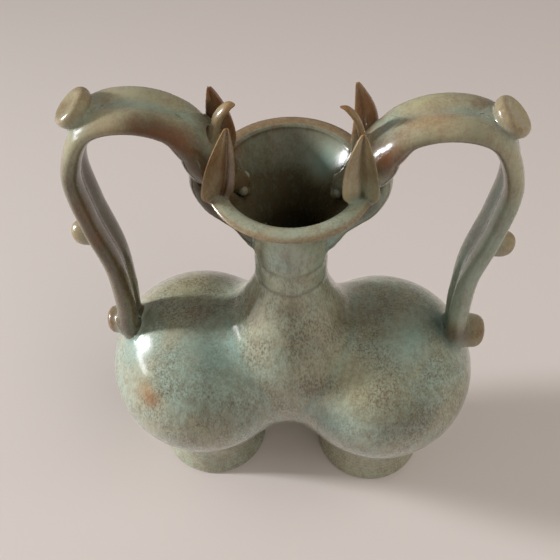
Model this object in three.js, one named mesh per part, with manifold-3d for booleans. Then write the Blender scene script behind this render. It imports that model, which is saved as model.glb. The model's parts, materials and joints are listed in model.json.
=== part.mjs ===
// Double-bodied celadon vase with a pair of dragon handles that bite the rim.
// Millimetres, +Z up. The origin is on the floor between the two feet, X runs through both bodies,
// and -Y is the front. Every thrown or rolled piece of clay is a mesh of its own, luted to the next.
import * as THREE from "three";
import { mergeVertices } from "three/addons/utils/BufferGeometryUtils.js";
import { LoftGeometry } from "three/addons/geometries/LoftGeometry.js";
import Module from "manifold-3d";

const wasm = await Module();
wasm.setup();

// Luting: the gap left where one piece is seated on another, and how far a hidden end runs on
const LUTING_GAP = 0.3;
const OVERRUN = 2;

// Bodies: two thrown ovoids side by side, run a little into one another
const BODY_RADIUS = 65.4;
const BODY_MERGE = 4.3;
const BODY_HALF_HEIGHT = 67.2;
const BODY_CENTRE_HEIGHT = 110.3;
const BODY_WALL = 6;

// Feet: a hollow ring foot under each body, drawn in at its waist and coved out to the body
const FOOT_RADIUS = 41;
const FOOT_WAIST_RADIUS = 37;
const FOOT_WAIST_HEIGHT = 24;
const FOOT_SHOULDER_RADIUS = 47;
const FOOT_WALL = 6.5;
const FOOT_EDGE = 1.5;
const FOOT_FLARE_SHARE = 0.3;
const FOOT_COVE_SHARE = 0.5;

// Yoke: the pear-shaped piece between the bodies, which opens into both and carries the neck
const YOKE_RADIUS = 44;
const YOKE_BELLY_RISE = 33;
const YOKE_DEPTH = 80;
const YOKE_RISE = 87;
const YOKE_WALL = 6;
const YOKE_SHOULDER_SHARE = 0.437;
const YOKE_THROAT_SHARE = 0.368;

// Neck: a short thrown tube with one turned groove
const NECK_RADIUS = 22;
const NECK_WALL = 6;
const NECK_LENGTH = 30;
const NECK_GROOVE_SHARE = 0.433;
const NECK_GROOVE_WIDTH = 3;
const NECK_GROOVE_DEPTH = 0.7;

// Mouth: a trumpet with a broad rolled lip
const RIM_RADIUS = 46;
const MOUTH_RISE = 48;
const LIP_WIDTH = 9.4;
const LIP_DROP = 2;
const LIP_UNDERCUT_SHARE = 0.12;
const MOUTH_THROAT_SHARE = 0.45;
const MOUTH_FLARE_SHARE = 0.5;
const MOUTH_SHELF_SHARE = 0.85;

// Handles: two rolled strands side by side along one centre line
const HANDLE_LANDING_SHARE = 0.6766;
const HANDLE_BOW = 8.5;
const HANDLE_ARCH_RISE = 41.7;
const STRAND_WIDTH = 16;
const STRAND_THICKNESS = 10.4;
const STRAND_FOOT_WIDTH = 12.5;
const STRAND_FOOT_THICKNESS = 13.5;
const STRAND_SWELL_SHARE = 0.55;
const STRAND_FLAT_SHARE = 0.42;
// Along the arch, from the rim edge out to the reach and from the rim up to the top of the arch
const ARCH_SHARES = [[-0.06, 0.22], [0.166, 0.837], [0.473, 1], [0.784, 0.847], [0.987, 0.13]];
// Down the leg, from the landing out to the reach and from the landing up to the rim
const LEG_SHARES = [[0.756, 0.79], [-0.05, 0.496], [-0.06, 0.253], [0, 0]];

// Bosses: buttons of clay on the outside of each handle, at shares of the centre line's length
const ELBOW_BOSS_RADIUS = 11.5;
const ELBOW_BOSS_HEIGHT = 9.5;
const ELBOW_BOSS_SHARE = 0.272;
const MIDDLE_BOSS_RADIUS = 7.2;
const MIDDLE_BOSS_HEIGHT = 13.5;
const MIDDLE_BOSS_SHARE = 0.595;
const LOWER_BOSS_RADIUS = 11.5;
const LOWER_BOSS_HEIGHT = 13.5;
const LOWER_BOSS_SHARE = 0.927;
const BOSS_DOME_SHARE = 0.35;
const BOSS_FLAT_SHARE = 0.55;
const BOSS_DISH_SHARE = 0.12;

// Dragon heads: the brow and snout reach over the rim into the mouth
const HEAD_WIDTH = 30;
const HEAD_THICKNESS = 16.5;
const HEAD_RISE = 29;
const HEAD_REACH = 7;
const SNOUT_DEPTH = 16;
const SNOUT_LENGTH = 23.5;
// Stations from the back of the head to the snout's tip: across and up between the head's ends,
// then half-width and half-thickness
const BROW_SHARES = [0.36, 0.45, 1, 1];
const SNOUT_SHARES = [0.91, 0.93, 0.43, 0.54];
const HEAD_SHARES = [
  [0, 0, 0.8, 0.72], [0.16, 0.2, 0.97, 0.88], BROW_SHARES, [0.56, 0.65, 0.86, 0.94],
  [0.75, 0.8, 0.64, 0.78], SNOUT_SHARES, [1, 1, 0.16, 0.2],
];

// Lower jaws: under the rim, down the outside of the mouth to the neck
const JAW_WIDTH = 26;
const JAW_THICKNESS = 13;
const JAW_PROUD = 2.5;
const JAW_TOP_RISE = 9;
const JAW_LENGTH = 67;
// Stations from the top of the jaw to the beard's tip: across from the rim to the neck and down,
// then half-width and half-thickness
const JAW_SHARES = [
  [-0.03, 0, 0.8, 0.5], [0, 0.2, 1, 0.86], [0.2, 0.39, 0.98, 1], [0.47, 0.54, 0.85, 0.94],
  [0.74, 0.69, 0.7, 0.86], [0.9, 0.85, 0.55, 0.8], [0.99, 1, 0.3, 0.5],
];

// Ears: cupped leaves that stand up beside each head
const EAR_LENGTH = 48;
const EAR_WIDTH = 19;
const EAR_THICKNESS = 4.4;
const EAR_CUP = 4;
const EAR_INSET = 8.4;
const EAR_SIDE = 16.5;
const EAR_SINK = 2.5;
// How far each ear's tip leans from its root, in towards the mouth and out to its own side
const EAR_TIP_LEANS = {
  right_front: [2.5, 2.5], right_back: [3.5, 2.5], left_front: [5, 2.5], left_back: [-1, -3],
};
// Stations up the ear: height, then half-width and half-thickness
const EAR_SHARES = [
  [0, 0.3, 0.45], [0.06, 0.7, 0.8], [0.2, 1, 1], [0.4, 0.96, 1],
  [0.64, 0.76, 0.95], [0.87, 0.45, 0.85], [1, 0.1, 0.3],
];

// Crest: the forelock that curls from the brow towards the middle of the mouth
const CREST_WIDTH = 12;
const CREST_THICKNESS = 6.6;
const CREST_RISE = 47;
const CREST_CURL = 15;
// Stations up the crest: across from the root towards the mouth and up from the root to the tip,
// then half-width and half-thickness
const CREST_SHARES = [
  [0, 0, 0.85, 1], [0.12, 0.3, 1, 1], [0.24, 0.55, 1, 0.96], [0.44, 0.78, 0.86, 0.86],
  [0.72, 0.93, 0.64, 0.72], [1.03, 0.99, 0.22, 0.3],
];

// Eyes: balls of clay on both sides of the snout
const EYE_RADIUS = 2.7;
const EYE_REACH_SHARE = 0.86;

// Roundness of the meshes
const THROWN_SIDES = 32;
const CAVITY_SIDES = 24;
const BODY_RINGS = 14;
const CAVITY_RINGS = 8;
const CURVE_STEPS = 6;
const STRAND_SIDES = 10;
const STRAND_STATIONS = 24;
const MODELLED_SIDES = 12;
const BOSS_SIDES = 16;
const EYE_SIDES = 8;

const celadon = new THREE.MeshStandardMaterial({ color: "#8c9c8b", roughness: 0.16, metalness: 0 });
const oliveCeladon = new THREE.MeshStandardMaterial({ color: "#7d8068", roughness: 0.18, metalness: 0 });
const ironBrown = new THREE.MeshStandardMaterial({ color: "#83603f", roughness: 0.22, metalness: 0 });

const at = (x, y) => new THREE.Vector2(x, y);
const lerp = THREE.MathUtils.lerp;

// A closed geometry as a solid that can be joined and cut.
function solid(geometry) {
  const bare = new THREE.BufferGeometry();
  bare.setAttribute("position", geometry.getAttribute("position"));
  bare.setIndex(geometry.index);
  const merged = mergeVertices(bare);
  const made = new wasm.Manifold(
    new wasm.Mesh({
      numProp: 3,
      vertProperties: merged.getAttribute("position").array,
      triVerts: new Uint32Array(merged.index.array),
    }),
  );
  return made;
}

// A solid as a named mesh, without the crumbs that a cut can leave.
function mesh(name, shape, material) {
  const largest = shape.decompose().reduce((a, b) => (a.volume() > b.volume() ? a : b));
  const made = largest.getMesh();
  const geometry = new THREE.BufferGeometry();
  geometry.setAttribute("position", new THREE.BufferAttribute(made.vertProperties, made.numProp));
  geometry.setIndex(new THREE.BufferAttribute(made.triVerts, 1));
  geometry.computeVertexNormals();
  const piece = new THREE.Mesh(geometry, material);
  piece.name = name;
  return piece;
}

// Cuts every neighbour's grown shape out of a piece, so that the piece seats on them.
function seatedOn(shape, ...neighbours) {
  return neighbours.reduce((left, neighbour) => left.subtract(neighbour), shape);
}

// Turns an outline of radius and height about the Z axis, then moves it across to its own axis.
function turned(outline, sides, across = 0) {
  return solid(new THREE.LatheGeometry(outline, sides).rotateX(Math.PI / 2).translate(across, 0, 0));
}

// The outline of an ovoid from its bottom to its top.
function ovoid(radius, halfHeight, centreHeight, rings) {
  const outline = new THREE.EllipseCurve(0, centreHeight, radius, halfHeight, -Math.PI / 2, Math.PI / 2);
  return outline.getPoints(rings);
}

// A closed ring outline moved outwards by a distance, corner by corner.
function grown(outline, distance) {
  const count = outline.length - 1;
  const moved = outline.slice(0, count).map((point, i) => {
    const before = outline[(i + count - 1) % count];
    const after = outline[(i + 1) % count];
    const along = after.clone().sub(before).normalize();
    return at(point.x + along.y * distance, point.y - along.x * distance);
  });
  return [...moved, moved[0].clone()];
}

// Heights and reaches that follow from the sizes, stacked from the floor up and from the middle out
const bodyAxis = BODY_RADIUS - BODY_MERGE / 2;
const yokeBelly = BODY_CENTRE_HEIGHT + YOKE_BELLY_RISE;
const yokeTop = yokeBelly + YOKE_RISE;
const neckTop = yokeTop + NECK_LENGTH;
const grooveHeight = yokeTop + NECK_LENGTH * NECK_GROOVE_SHARE;
const rimHeight = neckTop + MOUTH_RISE;
const landingReach = bodyAxis + BODY_RADIUS * HANDLE_LANDING_SHARE;
const handleReach = landingReach + HANDLE_BOW;

// One body's whole outer form, grown by a clearance.
function bodyForm(clearance = 0) {
  const outline = ovoid(
    BODY_RADIUS + clearance, BODY_HALF_HEIGHT + clearance, BODY_CENTRE_HEIGHT, BODY_RINGS,
  );
  return turned(outline, THROWN_SIDES, bodyAxis);
}

// The pear's outline from its bottom to the top of the yoke, drawn in by a wall.
function pearOutline(inset, overrun) {
  const belly = new THREE.EllipseCurve(
    0, yokeBelly, YOKE_RADIUS - inset, YOKE_DEPTH - inset, -Math.PI / 2, 0,
  );
  const shoulder = new THREE.CubicBezierCurve(
    at(YOKE_RADIUS - inset, yokeBelly),
    at(YOKE_RADIUS - inset, yokeBelly + YOKE_RISE * YOKE_SHOULDER_SHARE),
    at(NECK_RADIUS - inset, yokeTop - YOKE_RISE * YOKE_THROAT_SHARE),
    at(NECK_RADIUS - inset, yokeTop),
  );
  const top = yokeTop + overrun;
  const lid = overrun > 0 ? [at(NECK_RADIUS - inset, top), at(0, top)] : [at(0, top)];
  return [...belly.getPoints(CURVE_STEPS), ...shoulder.getPoints(CURVE_STEPS).slice(1), ...lid];
}

function yokeCavity() {
  return turned(pearOutline(YOKE_WALL, OVERRUN), CAVITY_SIDES);
}

// A hollow body, open to the yoke's cavity.
function bodyShell() {
  const hollow = ovoid(
    BODY_RADIUS - BODY_WALL, BODY_HALF_HEIGHT - BODY_WALL, BODY_CENTRE_HEIGHT, CAVITY_RINGS,
  );
  return bodyForm().subtract(turned(hollow, CAVITY_SIDES, bodyAxis)).subtract(yokeCavity());
}

// The height of a body's underside at a distance from its axis.
function undersideHeight(radius) {
  return BODY_CENTRE_HEIGHT - BODY_HALF_HEIGHT * Math.sqrt(1 - (radius / BODY_RADIUS) ** 2);
}

// A ring foot, hollow underneath, its top seated on the body's underside.
function foot() {
  const top = BODY_CENTRE_HEIGHT;
  const shoulder = undersideHeight(FOOT_SHOULDER_RADIUS);
  const flare = new THREE.QuadraticBezierCurve(
    at(FOOT_RADIUS, FOOT_EDGE),
    at(FOOT_WAIST_RADIUS, lerp(FOOT_EDGE, FOOT_WAIST_HEIGHT, FOOT_FLARE_SHARE)),
    at(FOOT_WAIST_RADIUS, FOOT_WAIST_HEIGHT),
  );
  const cove = new THREE.QuadraticBezierCurve(
    at(FOOT_WAIST_RADIUS, FOOT_WAIST_HEIGHT),
    at(FOOT_WAIST_RADIUS, lerp(FOOT_WAIST_HEIGHT, shoulder, FOOT_COVE_SHARE)),
    at(FOOT_SHOULDER_RADIUS, shoulder),
  );
  const outline = [
    at(FOOT_RADIUS - FOOT_EDGE, 0),
    ...flare.getPoints(CURVE_STEPS / 2),
    ...cove.getPoints(CURVE_STEPS / 2).slice(1),
    at(FOOT_SHOULDER_RADIUS, top),
    at(FOOT_WAIST_RADIUS - FOOT_WALL, top),
    at(FOOT_WAIST_RADIUS - FOOT_WALL, FOOT_WAIST_HEIGHT),
    at(FOOT_RADIUS - FOOT_WALL - FOOT_EDGE, FOOT_EDGE),
    at(FOOT_RADIUS - FOOT_WALL, 0),
    at(FOOT_RADIUS - FOOT_EDGE, 0),
  ];
  return seatedOn(turned(outline, THROWN_SIDES, bodyAxis), bodyForm(LUTING_GAP));
}

// The pear's wall where it shows between, in front of and above the bodies.
function yoke() {
  const right = bodyForm(LUTING_GAP);
  const wall = turned(pearOutline(0, 0), THROWN_SIDES).subtract(yokeCavity());
  return seatedOn(wall, right, right.mirror([1, 0, 0]));
}

function neckOutline() {
  const bore = NECK_RADIUS - NECK_WALL;
  const lip = NECK_GROOVE_WIDTH / 2;
  return [
    at(NECK_RADIUS, yokeTop),
    at(NECK_RADIUS, grooveHeight - lip),
    at(NECK_RADIUS - NECK_GROOVE_DEPTH, grooveHeight),
    at(NECK_RADIUS, grooveHeight + lip),
    at(NECK_RADIUS, neckTop),
    at(bore, neckTop),
    at(bore, yokeTop),
    at(NECK_RADIUS, yokeTop),
  ];
}

function mouthOutline() {
  const bore = NECK_RADIUS - NECK_WALL;
  const edge = at(RIM_RADIUS, rimHeight - LIP_DROP);
  const innerEdge = at(RIM_RADIUS - LIP_WIDTH, rimHeight - LIP_DROP / 2);
  const undercut = at(RIM_RADIUS - LIP_WIDTH * LIP_UNDERCUT_SHARE, rimHeight - 2 * LIP_DROP);
  const outside = new THREE.CubicBezierCurve(
    at(NECK_RADIUS, neckTop),
    at(NECK_RADIUS, neckTop + MOUTH_RISE * MOUTH_THROAT_SHARE),
    at(lerp(NECK_RADIUS, RIM_RADIUS, MOUTH_FLARE_SHARE), neckTop + MOUTH_RISE * MOUTH_SHELF_SHARE),
    undercut,
  );
  const lip = new THREE.SplineCurve([edge, at(RIM_RADIUS - LIP_WIDTH / 2, rimHeight), innerEdge]);
  const inside = new THREE.CubicBezierCurve(
    innerEdge,
    at(lerp(bore, innerEdge.x, MOUTH_SHELF_SHARE), neckTop + MOUTH_RISE * MOUTH_SHELF_SHARE),
    at(bore, neckTop + MOUTH_RISE * MOUTH_THROAT_SHARE),
    at(bore, neckTop),
  );
  return [
    ...outside.getPoints(CURVE_STEPS),
    ...lip.getPoints(CURVE_STEPS / 2),
    ...inside.getPoints(CURVE_STEPS).slice(1),
    at(NECK_RADIUS, neckTop),
  ];
}

// An oval ring of points about a place in the XZ plane. Its width lies along Y and its thickness
// square to the route's direction.
function ovalSection(place, direction, halfWidth, halfThickness, sides) {
  const across = new THREE.Vector3(-direction.z, 0, direction.x);
  return Array.from({ length: sides }, (_, i) => {
    const angle = (i / sides) * 2 * Math.PI;
    return place
      .clone()
      .addScaledVector(across, Math.sin(angle) * halfThickness)
      .add(new THREE.Vector3(0, Math.cos(angle) * halfWidth, 0));
  });
}

// A rounded form lofted through stations of place, half-width and half-thickness.
function modelled(stations, clearance = 0) {
  const route = new THREE.CatmullRomCurve3(stations.map((station) => station.place));
  const sections = stations.map((station, i) => {
    const direction = route.getTangent(i / (stations.length - 1));
    return ovalSection(
      station.place, direction,
      station.halfWidth + clearance, station.halfThickness + clearance, MODELLED_SIDES,
    );
  });
  return solid(new LoftGeometry(sections, { capStart: true, capEnd: true }));
}

// Where the handle's centre line enters the body: the landing's reach, on the body's surface.
function landing() {
  const height = BODY_CENTRE_HEIGHT + BODY_HALF_HEIGHT * Math.sqrt(1 - HANDLE_LANDING_SHARE ** 2);
  return new THREE.Vector3(landingReach, 0, height);
}

// The centre line of one handle, from the back of the dragon's head to inside the body's wall.
function handleRoute() {
  const foothold = landing();
  const arch = ARCH_SHARES.map(
    ([across, up]) =>
      new THREE.Vector3(
        lerp(RIM_RADIUS, handleReach, across), 0, rimHeight + HANDLE_ARCH_RISE * up,
      ),
  );
  const leg = LEG_SHARES.map(
    ([across, up]) =>
      new THREE.Vector3(
        lerp(foothold.x, handleReach, across), 0, lerp(foothold.z, rimHeight, up),
      ),
  );
  const inward = new THREE.Vector3(
    -HANDLE_LANDING_SHARE / BODY_RADIUS, 0, -Math.sqrt(1 - HANDLE_LANDING_SHARE ** 2) / BODY_HALF_HEIGHT,
  ).normalize();
  const root = foothold.clone().addScaledVector(inward, STRAND_WIDTH);
  return new THREE.CatmullRomCurve3([...arch, ...leg, root]);
}

// The strand's section at a share of its length: down the leg a flat coil grows round and thick.
function strandWidth(share) {
  const swell = THREE.MathUtils.smoothstep(share, STRAND_SWELL_SHARE, 1);
  return lerp(STRAND_WIDTH, STRAND_FOOT_WIDTH, swell);
}

function strandThickness(share) {
  const swell = THREE.MathUtils.smoothstep(share, STRAND_SWELL_SHARE, 1);
  return lerp(STRAND_THICKNESS, STRAND_FOOT_THICKNESS, swell);
}

// The front strand: an oval coil flattened where it lies against its twin.
function strandForm(clearance = 0) {
  const route = handleRoute();
  const flat = Math.asin(STRAND_FLAT_SHARE);
  const seam = LUTING_GAP / 2 - clearance;
  const sections = Array.from({ length: STRAND_STATIONS + 1 }, (_, i) => {
    const place = route.getPointAt(i / STRAND_STATIONS);
    const direction = route.getTangentAt(i / STRAND_STATIONS);
    const across = new THREE.Vector3(-direction.z, 0, direction.x);
    const halfThickness = strandThickness(i / STRAND_STATIONS) / 2;
    const halfWidth = strandWidth(i / STRAND_STATIONS) / (1 + Math.cos(flat));
    const centre = LUTING_GAP / 2 + halfWidth * Math.cos(flat);
    return Array.from({ length: STRAND_SIDES }, (_, j) => {
      const angle = lerp(Math.PI - flat, flat - Math.PI, j / (STRAND_SIDES - 1));
      const out = Math.max(seam, centre + Math.cos(angle) * (halfWidth + clearance));
      const proud = Math.sin(angle) * (halfThickness + clearance);
      return new THREE.Vector3(place.x, -out, place.z).addScaledVector(across, proud);
    });
  });
  return solid(new LoftGeometry(sections, { capStart: true, capEnd: true }));
}

// Both strands of a handle as one form, to seat other pieces on.
function strandPair(clearance) {
  const front = strandForm(clearance);
  return front.add(front.mirror([0, 1, 0]));
}

// One station of the head, from its row of shares.
function headStation([across, down, width, thickness]) {
  const back = at(RIM_RADIUS + HEAD_REACH, rimHeight + HEAD_RISE);
  const tip = at(RIM_RADIUS - SNOUT_LENGTH, rimHeight - SNOUT_DEPTH);
  return {
    place: new THREE.Vector3(lerp(back.x, tip.x, across), 0, lerp(back.y, tip.y, down)),
    halfWidth: (HEAD_WIDTH / 2) * width,
    halfThickness: (HEAD_THICKNESS / 2) * thickness,
  };
}

function headForm(clearance = 0) {
  return modelled(HEAD_SHARES.map(headStation), clearance);
}

function jawStations() {
  const top = rimHeight + JAW_TOP_RISE;
  return JAW_SHARES.map(([across, down, width, thickness]) => ({
    place: new THREE.Vector3(
      lerp(RIM_RADIUS + JAW_PROUD, NECK_RADIUS, across), 0, top - JAW_LENGTH * down,
    ),
    halfWidth: (JAW_WIDTH / 2) * width,
    halfThickness: (JAW_THICKNESS / 2) * thickness,
  }));
}

function crestStations() {
  const root = headStation(BROW_SHARES).place;
  return CREST_SHARES.map(([across, up, width, thickness]) => ({
    place: new THREE.Vector3(
      root.x - CREST_CURL * across, 0, root.z + (CREST_RISE - HEAD_THICKNESS / 2) * up,
    ),
    halfWidth: (CREST_WIDTH / 2) * width,
    halfThickness: (CREST_THICKNESS / 2) * thickness,
  }));
}

// A front ear: a leaf in the XZ plane, cupped towards the front, its tip leaning in and sideways.
function earForm([lean, splay]) {
  const root = new THREE.Vector3(RIM_RADIUS - EAR_INSET, -EAR_SIDE, rimHeight - EAR_SINK);
  const sections = EAR_SHARES.map(([up, width, thickness]) => {
    const place = root
      .clone()
      .add(new THREE.Vector3(-lean * up, -splay * up, EAR_LENGTH * up));
    return Array.from({ length: MODELLED_SIDES }, (_, i) => {
      const angle = (i / MODELLED_SIDES) * 2 * Math.PI;
      const side = Math.cos(angle);
      const cup = EAR_CUP * width * side * side;
      const out = Math.sin(angle) * (EAR_THICKNESS / 2) * thickness - cup;
      return new THREE.Vector3((EAR_WIDTH / 2) * width * side, out, 0).add(place);
    });
  });
  return solid(new LoftGeometry(sections, { capStart: true, capEnd: true }));
}

// A button turned about Z with its base at zero and its base's middle sunk by a length. The top is
// a dome, or a dished flat inside a rounded rim.
function bossForm(radius, height, sink, dished) {
  const dome = height * BOSS_DOME_SHARE;
  const flat = dished ? radius * BOSS_FLAT_SHARE : 0;
  const top = new THREE.EllipseCurve(flat, height - dome, radius - flat, dome, 0, Math.PI / 2);
  const middle = dished ? [at(0, height * (1 - BOSS_DISH_SHARE))] : [];
  const outline = [at(0, -sink), at(radius, -sink), ...top.getPoints(CURVE_STEPS / 2), ...middle];
  return new THREE.LatheGeometry(outline, BOSS_SIDES).rotateX(Math.PI / 2);
}

// A boss on the outside of the handle, at a share of its centre line.
function bossAt(share, radius, height, dished = false) {
  const route = handleRoute();
  const place = route.getPointAt(share);
  const direction = route.getTangentAt(share);
  const outward = new THREE.Vector3(-direction.z, 0, direction.x);
  const turn = new THREE.Quaternion().setFromUnitVectors(new THREE.Vector3(0, 0, 1), outward);
  const depth = strandThickness(share) / 2;
  const form = bossForm(radius, height, depth, dished)
    .applyQuaternion(turn)
    .translate(place.x + outward.x * depth, 0, place.z + outward.z * depth);
  return solid(form);
}

// All the pieces on one side of the vase, built to the right and turned over for the left.
function side(name, mirror) {
  const group = new THREE.Group();
  const twin = (piece) => {
    piece.scale.y = -1;
    return piece;
  };
  const bodyTool = bodyForm(LUTING_GAP);
  const mouthTool = turned(grown(mouthOutline(), LUTING_GAP), THROWN_SIDES);
  const neckTool = turned(grown(neckOutline(), LUTING_GAP), THROWN_SIDES);
  const headTool = headForm(LUTING_GAP);
  const strandTool = strandPair(LUTING_GAP);

  const head = seatedOn(headForm(), mouthTool);
  const strand = seatedOn(strandForm(), bodyTool, headTool);
  const jaw = seatedOn(modelled(jawStations()), mouthTool, neckTool, headTool, strandTool);
  const ear = (end) =>
    seatedOn(earForm(EAR_TIP_LEANS[`${name}_${end}`]), headTool, mouthTool, strandTool);
  const crest = seatedOn(modelled(crestStations()), headTool, strandTool);
  const snout = headStation(SNOUT_SHARES);
  const eyeForm = new THREE.SphereGeometry(EYE_RADIUS, EYE_SIDES, EYE_SIDES / 2 + 1).translate(
    snout.place.x, -snout.halfWidth * EYE_REACH_SHARE, snout.place.z + snout.halfThickness,
  );
  const eye = seatedOn(solid(eyeForm), headTool, mouthTool);
  const boss = (...sizes) => seatedOn(bossAt(...sizes), strandTool, bodyTool);

  group.add(
    mesh(`${name}_body`, bodyShell(), celadon),
    mesh(`${name}_foot`, foot(), celadon),
    mesh(`${name}_front_strand`, strand, oliveCeladon),
    twin(mesh(`${name}_back_strand`, strand, oliveCeladon)),
    mesh(`${name}_dragon_head`, head, celadon),
    mesh(`${name}_dragon_jaw`, jaw, ironBrown),
    mesh(`${name}_front_ear`, ear("front"), ironBrown),
    twin(mesh(`${name}_back_ear`, ear("back"), ironBrown)),
    mesh(`${name}_crest`, crest, ironBrown),
    mesh(`${name}_front_eye`, eye, celadon),
    twin(mesh(`${name}_back_eye`, eye, celadon)),
    mesh(`${name}_elbow_boss`, boss(ELBOW_BOSS_SHARE, ELBOW_BOSS_RADIUS, ELBOW_BOSS_HEIGHT, true), celadon),
    mesh(`${name}_middle_boss`, boss(MIDDLE_BOSS_SHARE, MIDDLE_BOSS_RADIUS, MIDDLE_BOSS_HEIGHT), celadon),
    mesh(`${name}_lower_boss`, boss(LOWER_BOSS_SHARE, LOWER_BOSS_RADIUS, LOWER_BOSS_HEIGHT), ironBrown),
  );
  group.scale.x = mirror;
  return group;
}

const vase = new THREE.Group();
vase.add(
  mesh("yoke", yoke(), celadon),
  mesh("neck", turned(neckOutline(), THROWN_SIDES), celadon),
  mesh("mouth", turned(mouthOutline(), THROWN_SIDES), celadon),
  side("right", 1),
  side("left", -1),
);

export default vase;
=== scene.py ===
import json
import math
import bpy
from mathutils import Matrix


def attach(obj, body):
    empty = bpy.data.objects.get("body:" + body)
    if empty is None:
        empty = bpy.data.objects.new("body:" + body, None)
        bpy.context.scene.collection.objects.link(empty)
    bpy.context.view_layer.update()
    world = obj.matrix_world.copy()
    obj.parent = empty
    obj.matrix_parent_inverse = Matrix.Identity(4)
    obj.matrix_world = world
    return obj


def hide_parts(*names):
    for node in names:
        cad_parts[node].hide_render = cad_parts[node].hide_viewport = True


bl_info = {
    "name": "Double Vase with Dragon Handles",
    "version": (1, 0, 0),
    "blender": (4, 5, 0),
    "location": "View3D > Sidebar > Vase",
    "description": "Glazed pieces, finishes and studio for a double-bodied celadon vase",
    "category": "Object",
}

import bmesh
import bpy
import numpy as np
from bpy.props import FloatProperty, FloatVectorProperty, PointerProperty
from mathutils import Euler, Matrix, Vector
from mathutils.bvhtree import BVHTree

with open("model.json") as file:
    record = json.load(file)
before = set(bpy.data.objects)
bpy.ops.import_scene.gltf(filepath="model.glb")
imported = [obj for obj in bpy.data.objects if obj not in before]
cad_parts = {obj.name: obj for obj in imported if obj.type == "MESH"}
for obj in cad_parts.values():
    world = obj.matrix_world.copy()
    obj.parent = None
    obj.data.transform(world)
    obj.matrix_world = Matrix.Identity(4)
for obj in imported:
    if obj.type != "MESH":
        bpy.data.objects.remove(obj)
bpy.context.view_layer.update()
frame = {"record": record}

MM = 0.001
SIDES = {"right": 1, "left": -1}
TURN = 2 * math.pi


# Sizes and colours that a user would change

def linear(code):
    """An sRGB hex colour as linear red, green and blue."""
    parts = [int(code[i : i + 2], 16) / 255 for i in (1, 3, 5)]
    return tuple(p / 12.92 if p <= 0.04045 else ((p + 0.055) / 1.055) ** 2.4 for p in parts)


def length(name, description, millimetres):
    """A size that a user would change."""
    return FloatProperty(
        name=name, description=description, default=millimetres * MM,
        subtype="DISTANCE", unit="LENGTH", precision=4,
    )


def share(name, description, value):
    """A share between nothing and all."""
    return FloatProperty(name=name, description=description, default=value, subtype="FACTOR")


def tint(name, description, code):
    """A colour that a user would change."""
    return FloatVectorProperty(
        name=name, description=description, default=linear(code), subtype="COLOR", size=3, min=0, max=1,
    )


class VesselSizes(bpy.types.PropertyGroup):
    body_radius: length("Body radius", "Widest radius of each body", 65.4)
    body_half_height: length("Body half height", "Half the height of each ovoid", 67.2)
    body_centre: length("Body centre", "Height of each body's centre", 110.3)
    body_axis: length("Body axis", "Distance of each body's axis from the middle", 63.25)
    body_wall: length("Body wall", "Thickness of the thrown wall", 6)
    foot_radius: length("Foot radius", "Radius of each foot at the floor", 41)
    foot_waist: length("Foot waist", "Radius of each foot where it draws in", 37)
    foot_waist_height: length("Foot waist height", "Height of the waist", 24)
    foot_shoulder: length("Foot shoulder", "Radius where the foot meets the body", 47)
    foot_wall: length("Foot wall", "Thickness of the foot ring", 6.5)
    foot_edge: length("Foot edge", "Rounding of the foot's lower edge", 1.5)
    yoke_radius: length("Yoke radius", "Widest radius of the pear between the bodies", 44)
    yoke_belly: length("Yoke belly", "Height of the pear's widest part", 143.3)
    yoke_depth: length("Yoke depth", "Depth of the pear below its belly", 80)
    yoke_rise: length("Yoke rise", "Height of the pear above its belly", 87)
    neck_radius: length("Neck radius", "Outer radius of the neck", 22)
    neck_length: length("Neck length", "Height of the neck", 30)
    groove_width: length("Groove width", "Width of the turned groove", 4.5)
    groove_depth: length("Groove depth", "Depth of the turned groove", 0.8)
    rim_radius: length("Rim radius", "Outer radius of the rim", 46)
    mouth_rise: length("Mouth rise", "Height of the mouth above the neck", 48)
    lip_width: length("Lip width", "Width of the rolled lip", 9.4)
    lip_drop: length("Lip drop", "How far the lip's edge lies below its top", 2)


class HandleSizes(bpy.types.PropertyGroup):
    landing_reach: length("Landing reach", "Distance of the handle's landing from the middle", 107.5)
    reach: length("Reach", "Distance of the leg from the middle", 116)
    arch_rise: length("Arch rise", "Height of the arch above the rim", 41.7)
    strand_width: length("Strand width", "Width of one strand", 16)
    strand_thickness: length("Strand thickness", "Thickness of one strand", 10.4)
    foot_width: length("Strand foot width", "Width of one strand at its foot", 12.5)
    foot_thickness: length("Strand foot thickness", "Thickness of one strand at its foot", 13.5)
    elbow_radius: length("Elbow disc radius", "Radius of the disc on the elbow", 11.5)
    elbow_height: length("Elbow disc height", "Height of the disc on the elbow", 9.5)
    knob_radius: length("Knob radius", "Radius of the knob on the leg", 7.2)
    knob_height: length("Knob height", "Height of the knob on the leg", 13.5)
    lobe_radius: length("Lobe radius", "Radius of the lobe at the landing", 11.5)
    lobe_height: length("Lobe height", "Height of the lobe at the landing", 13.5)


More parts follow.
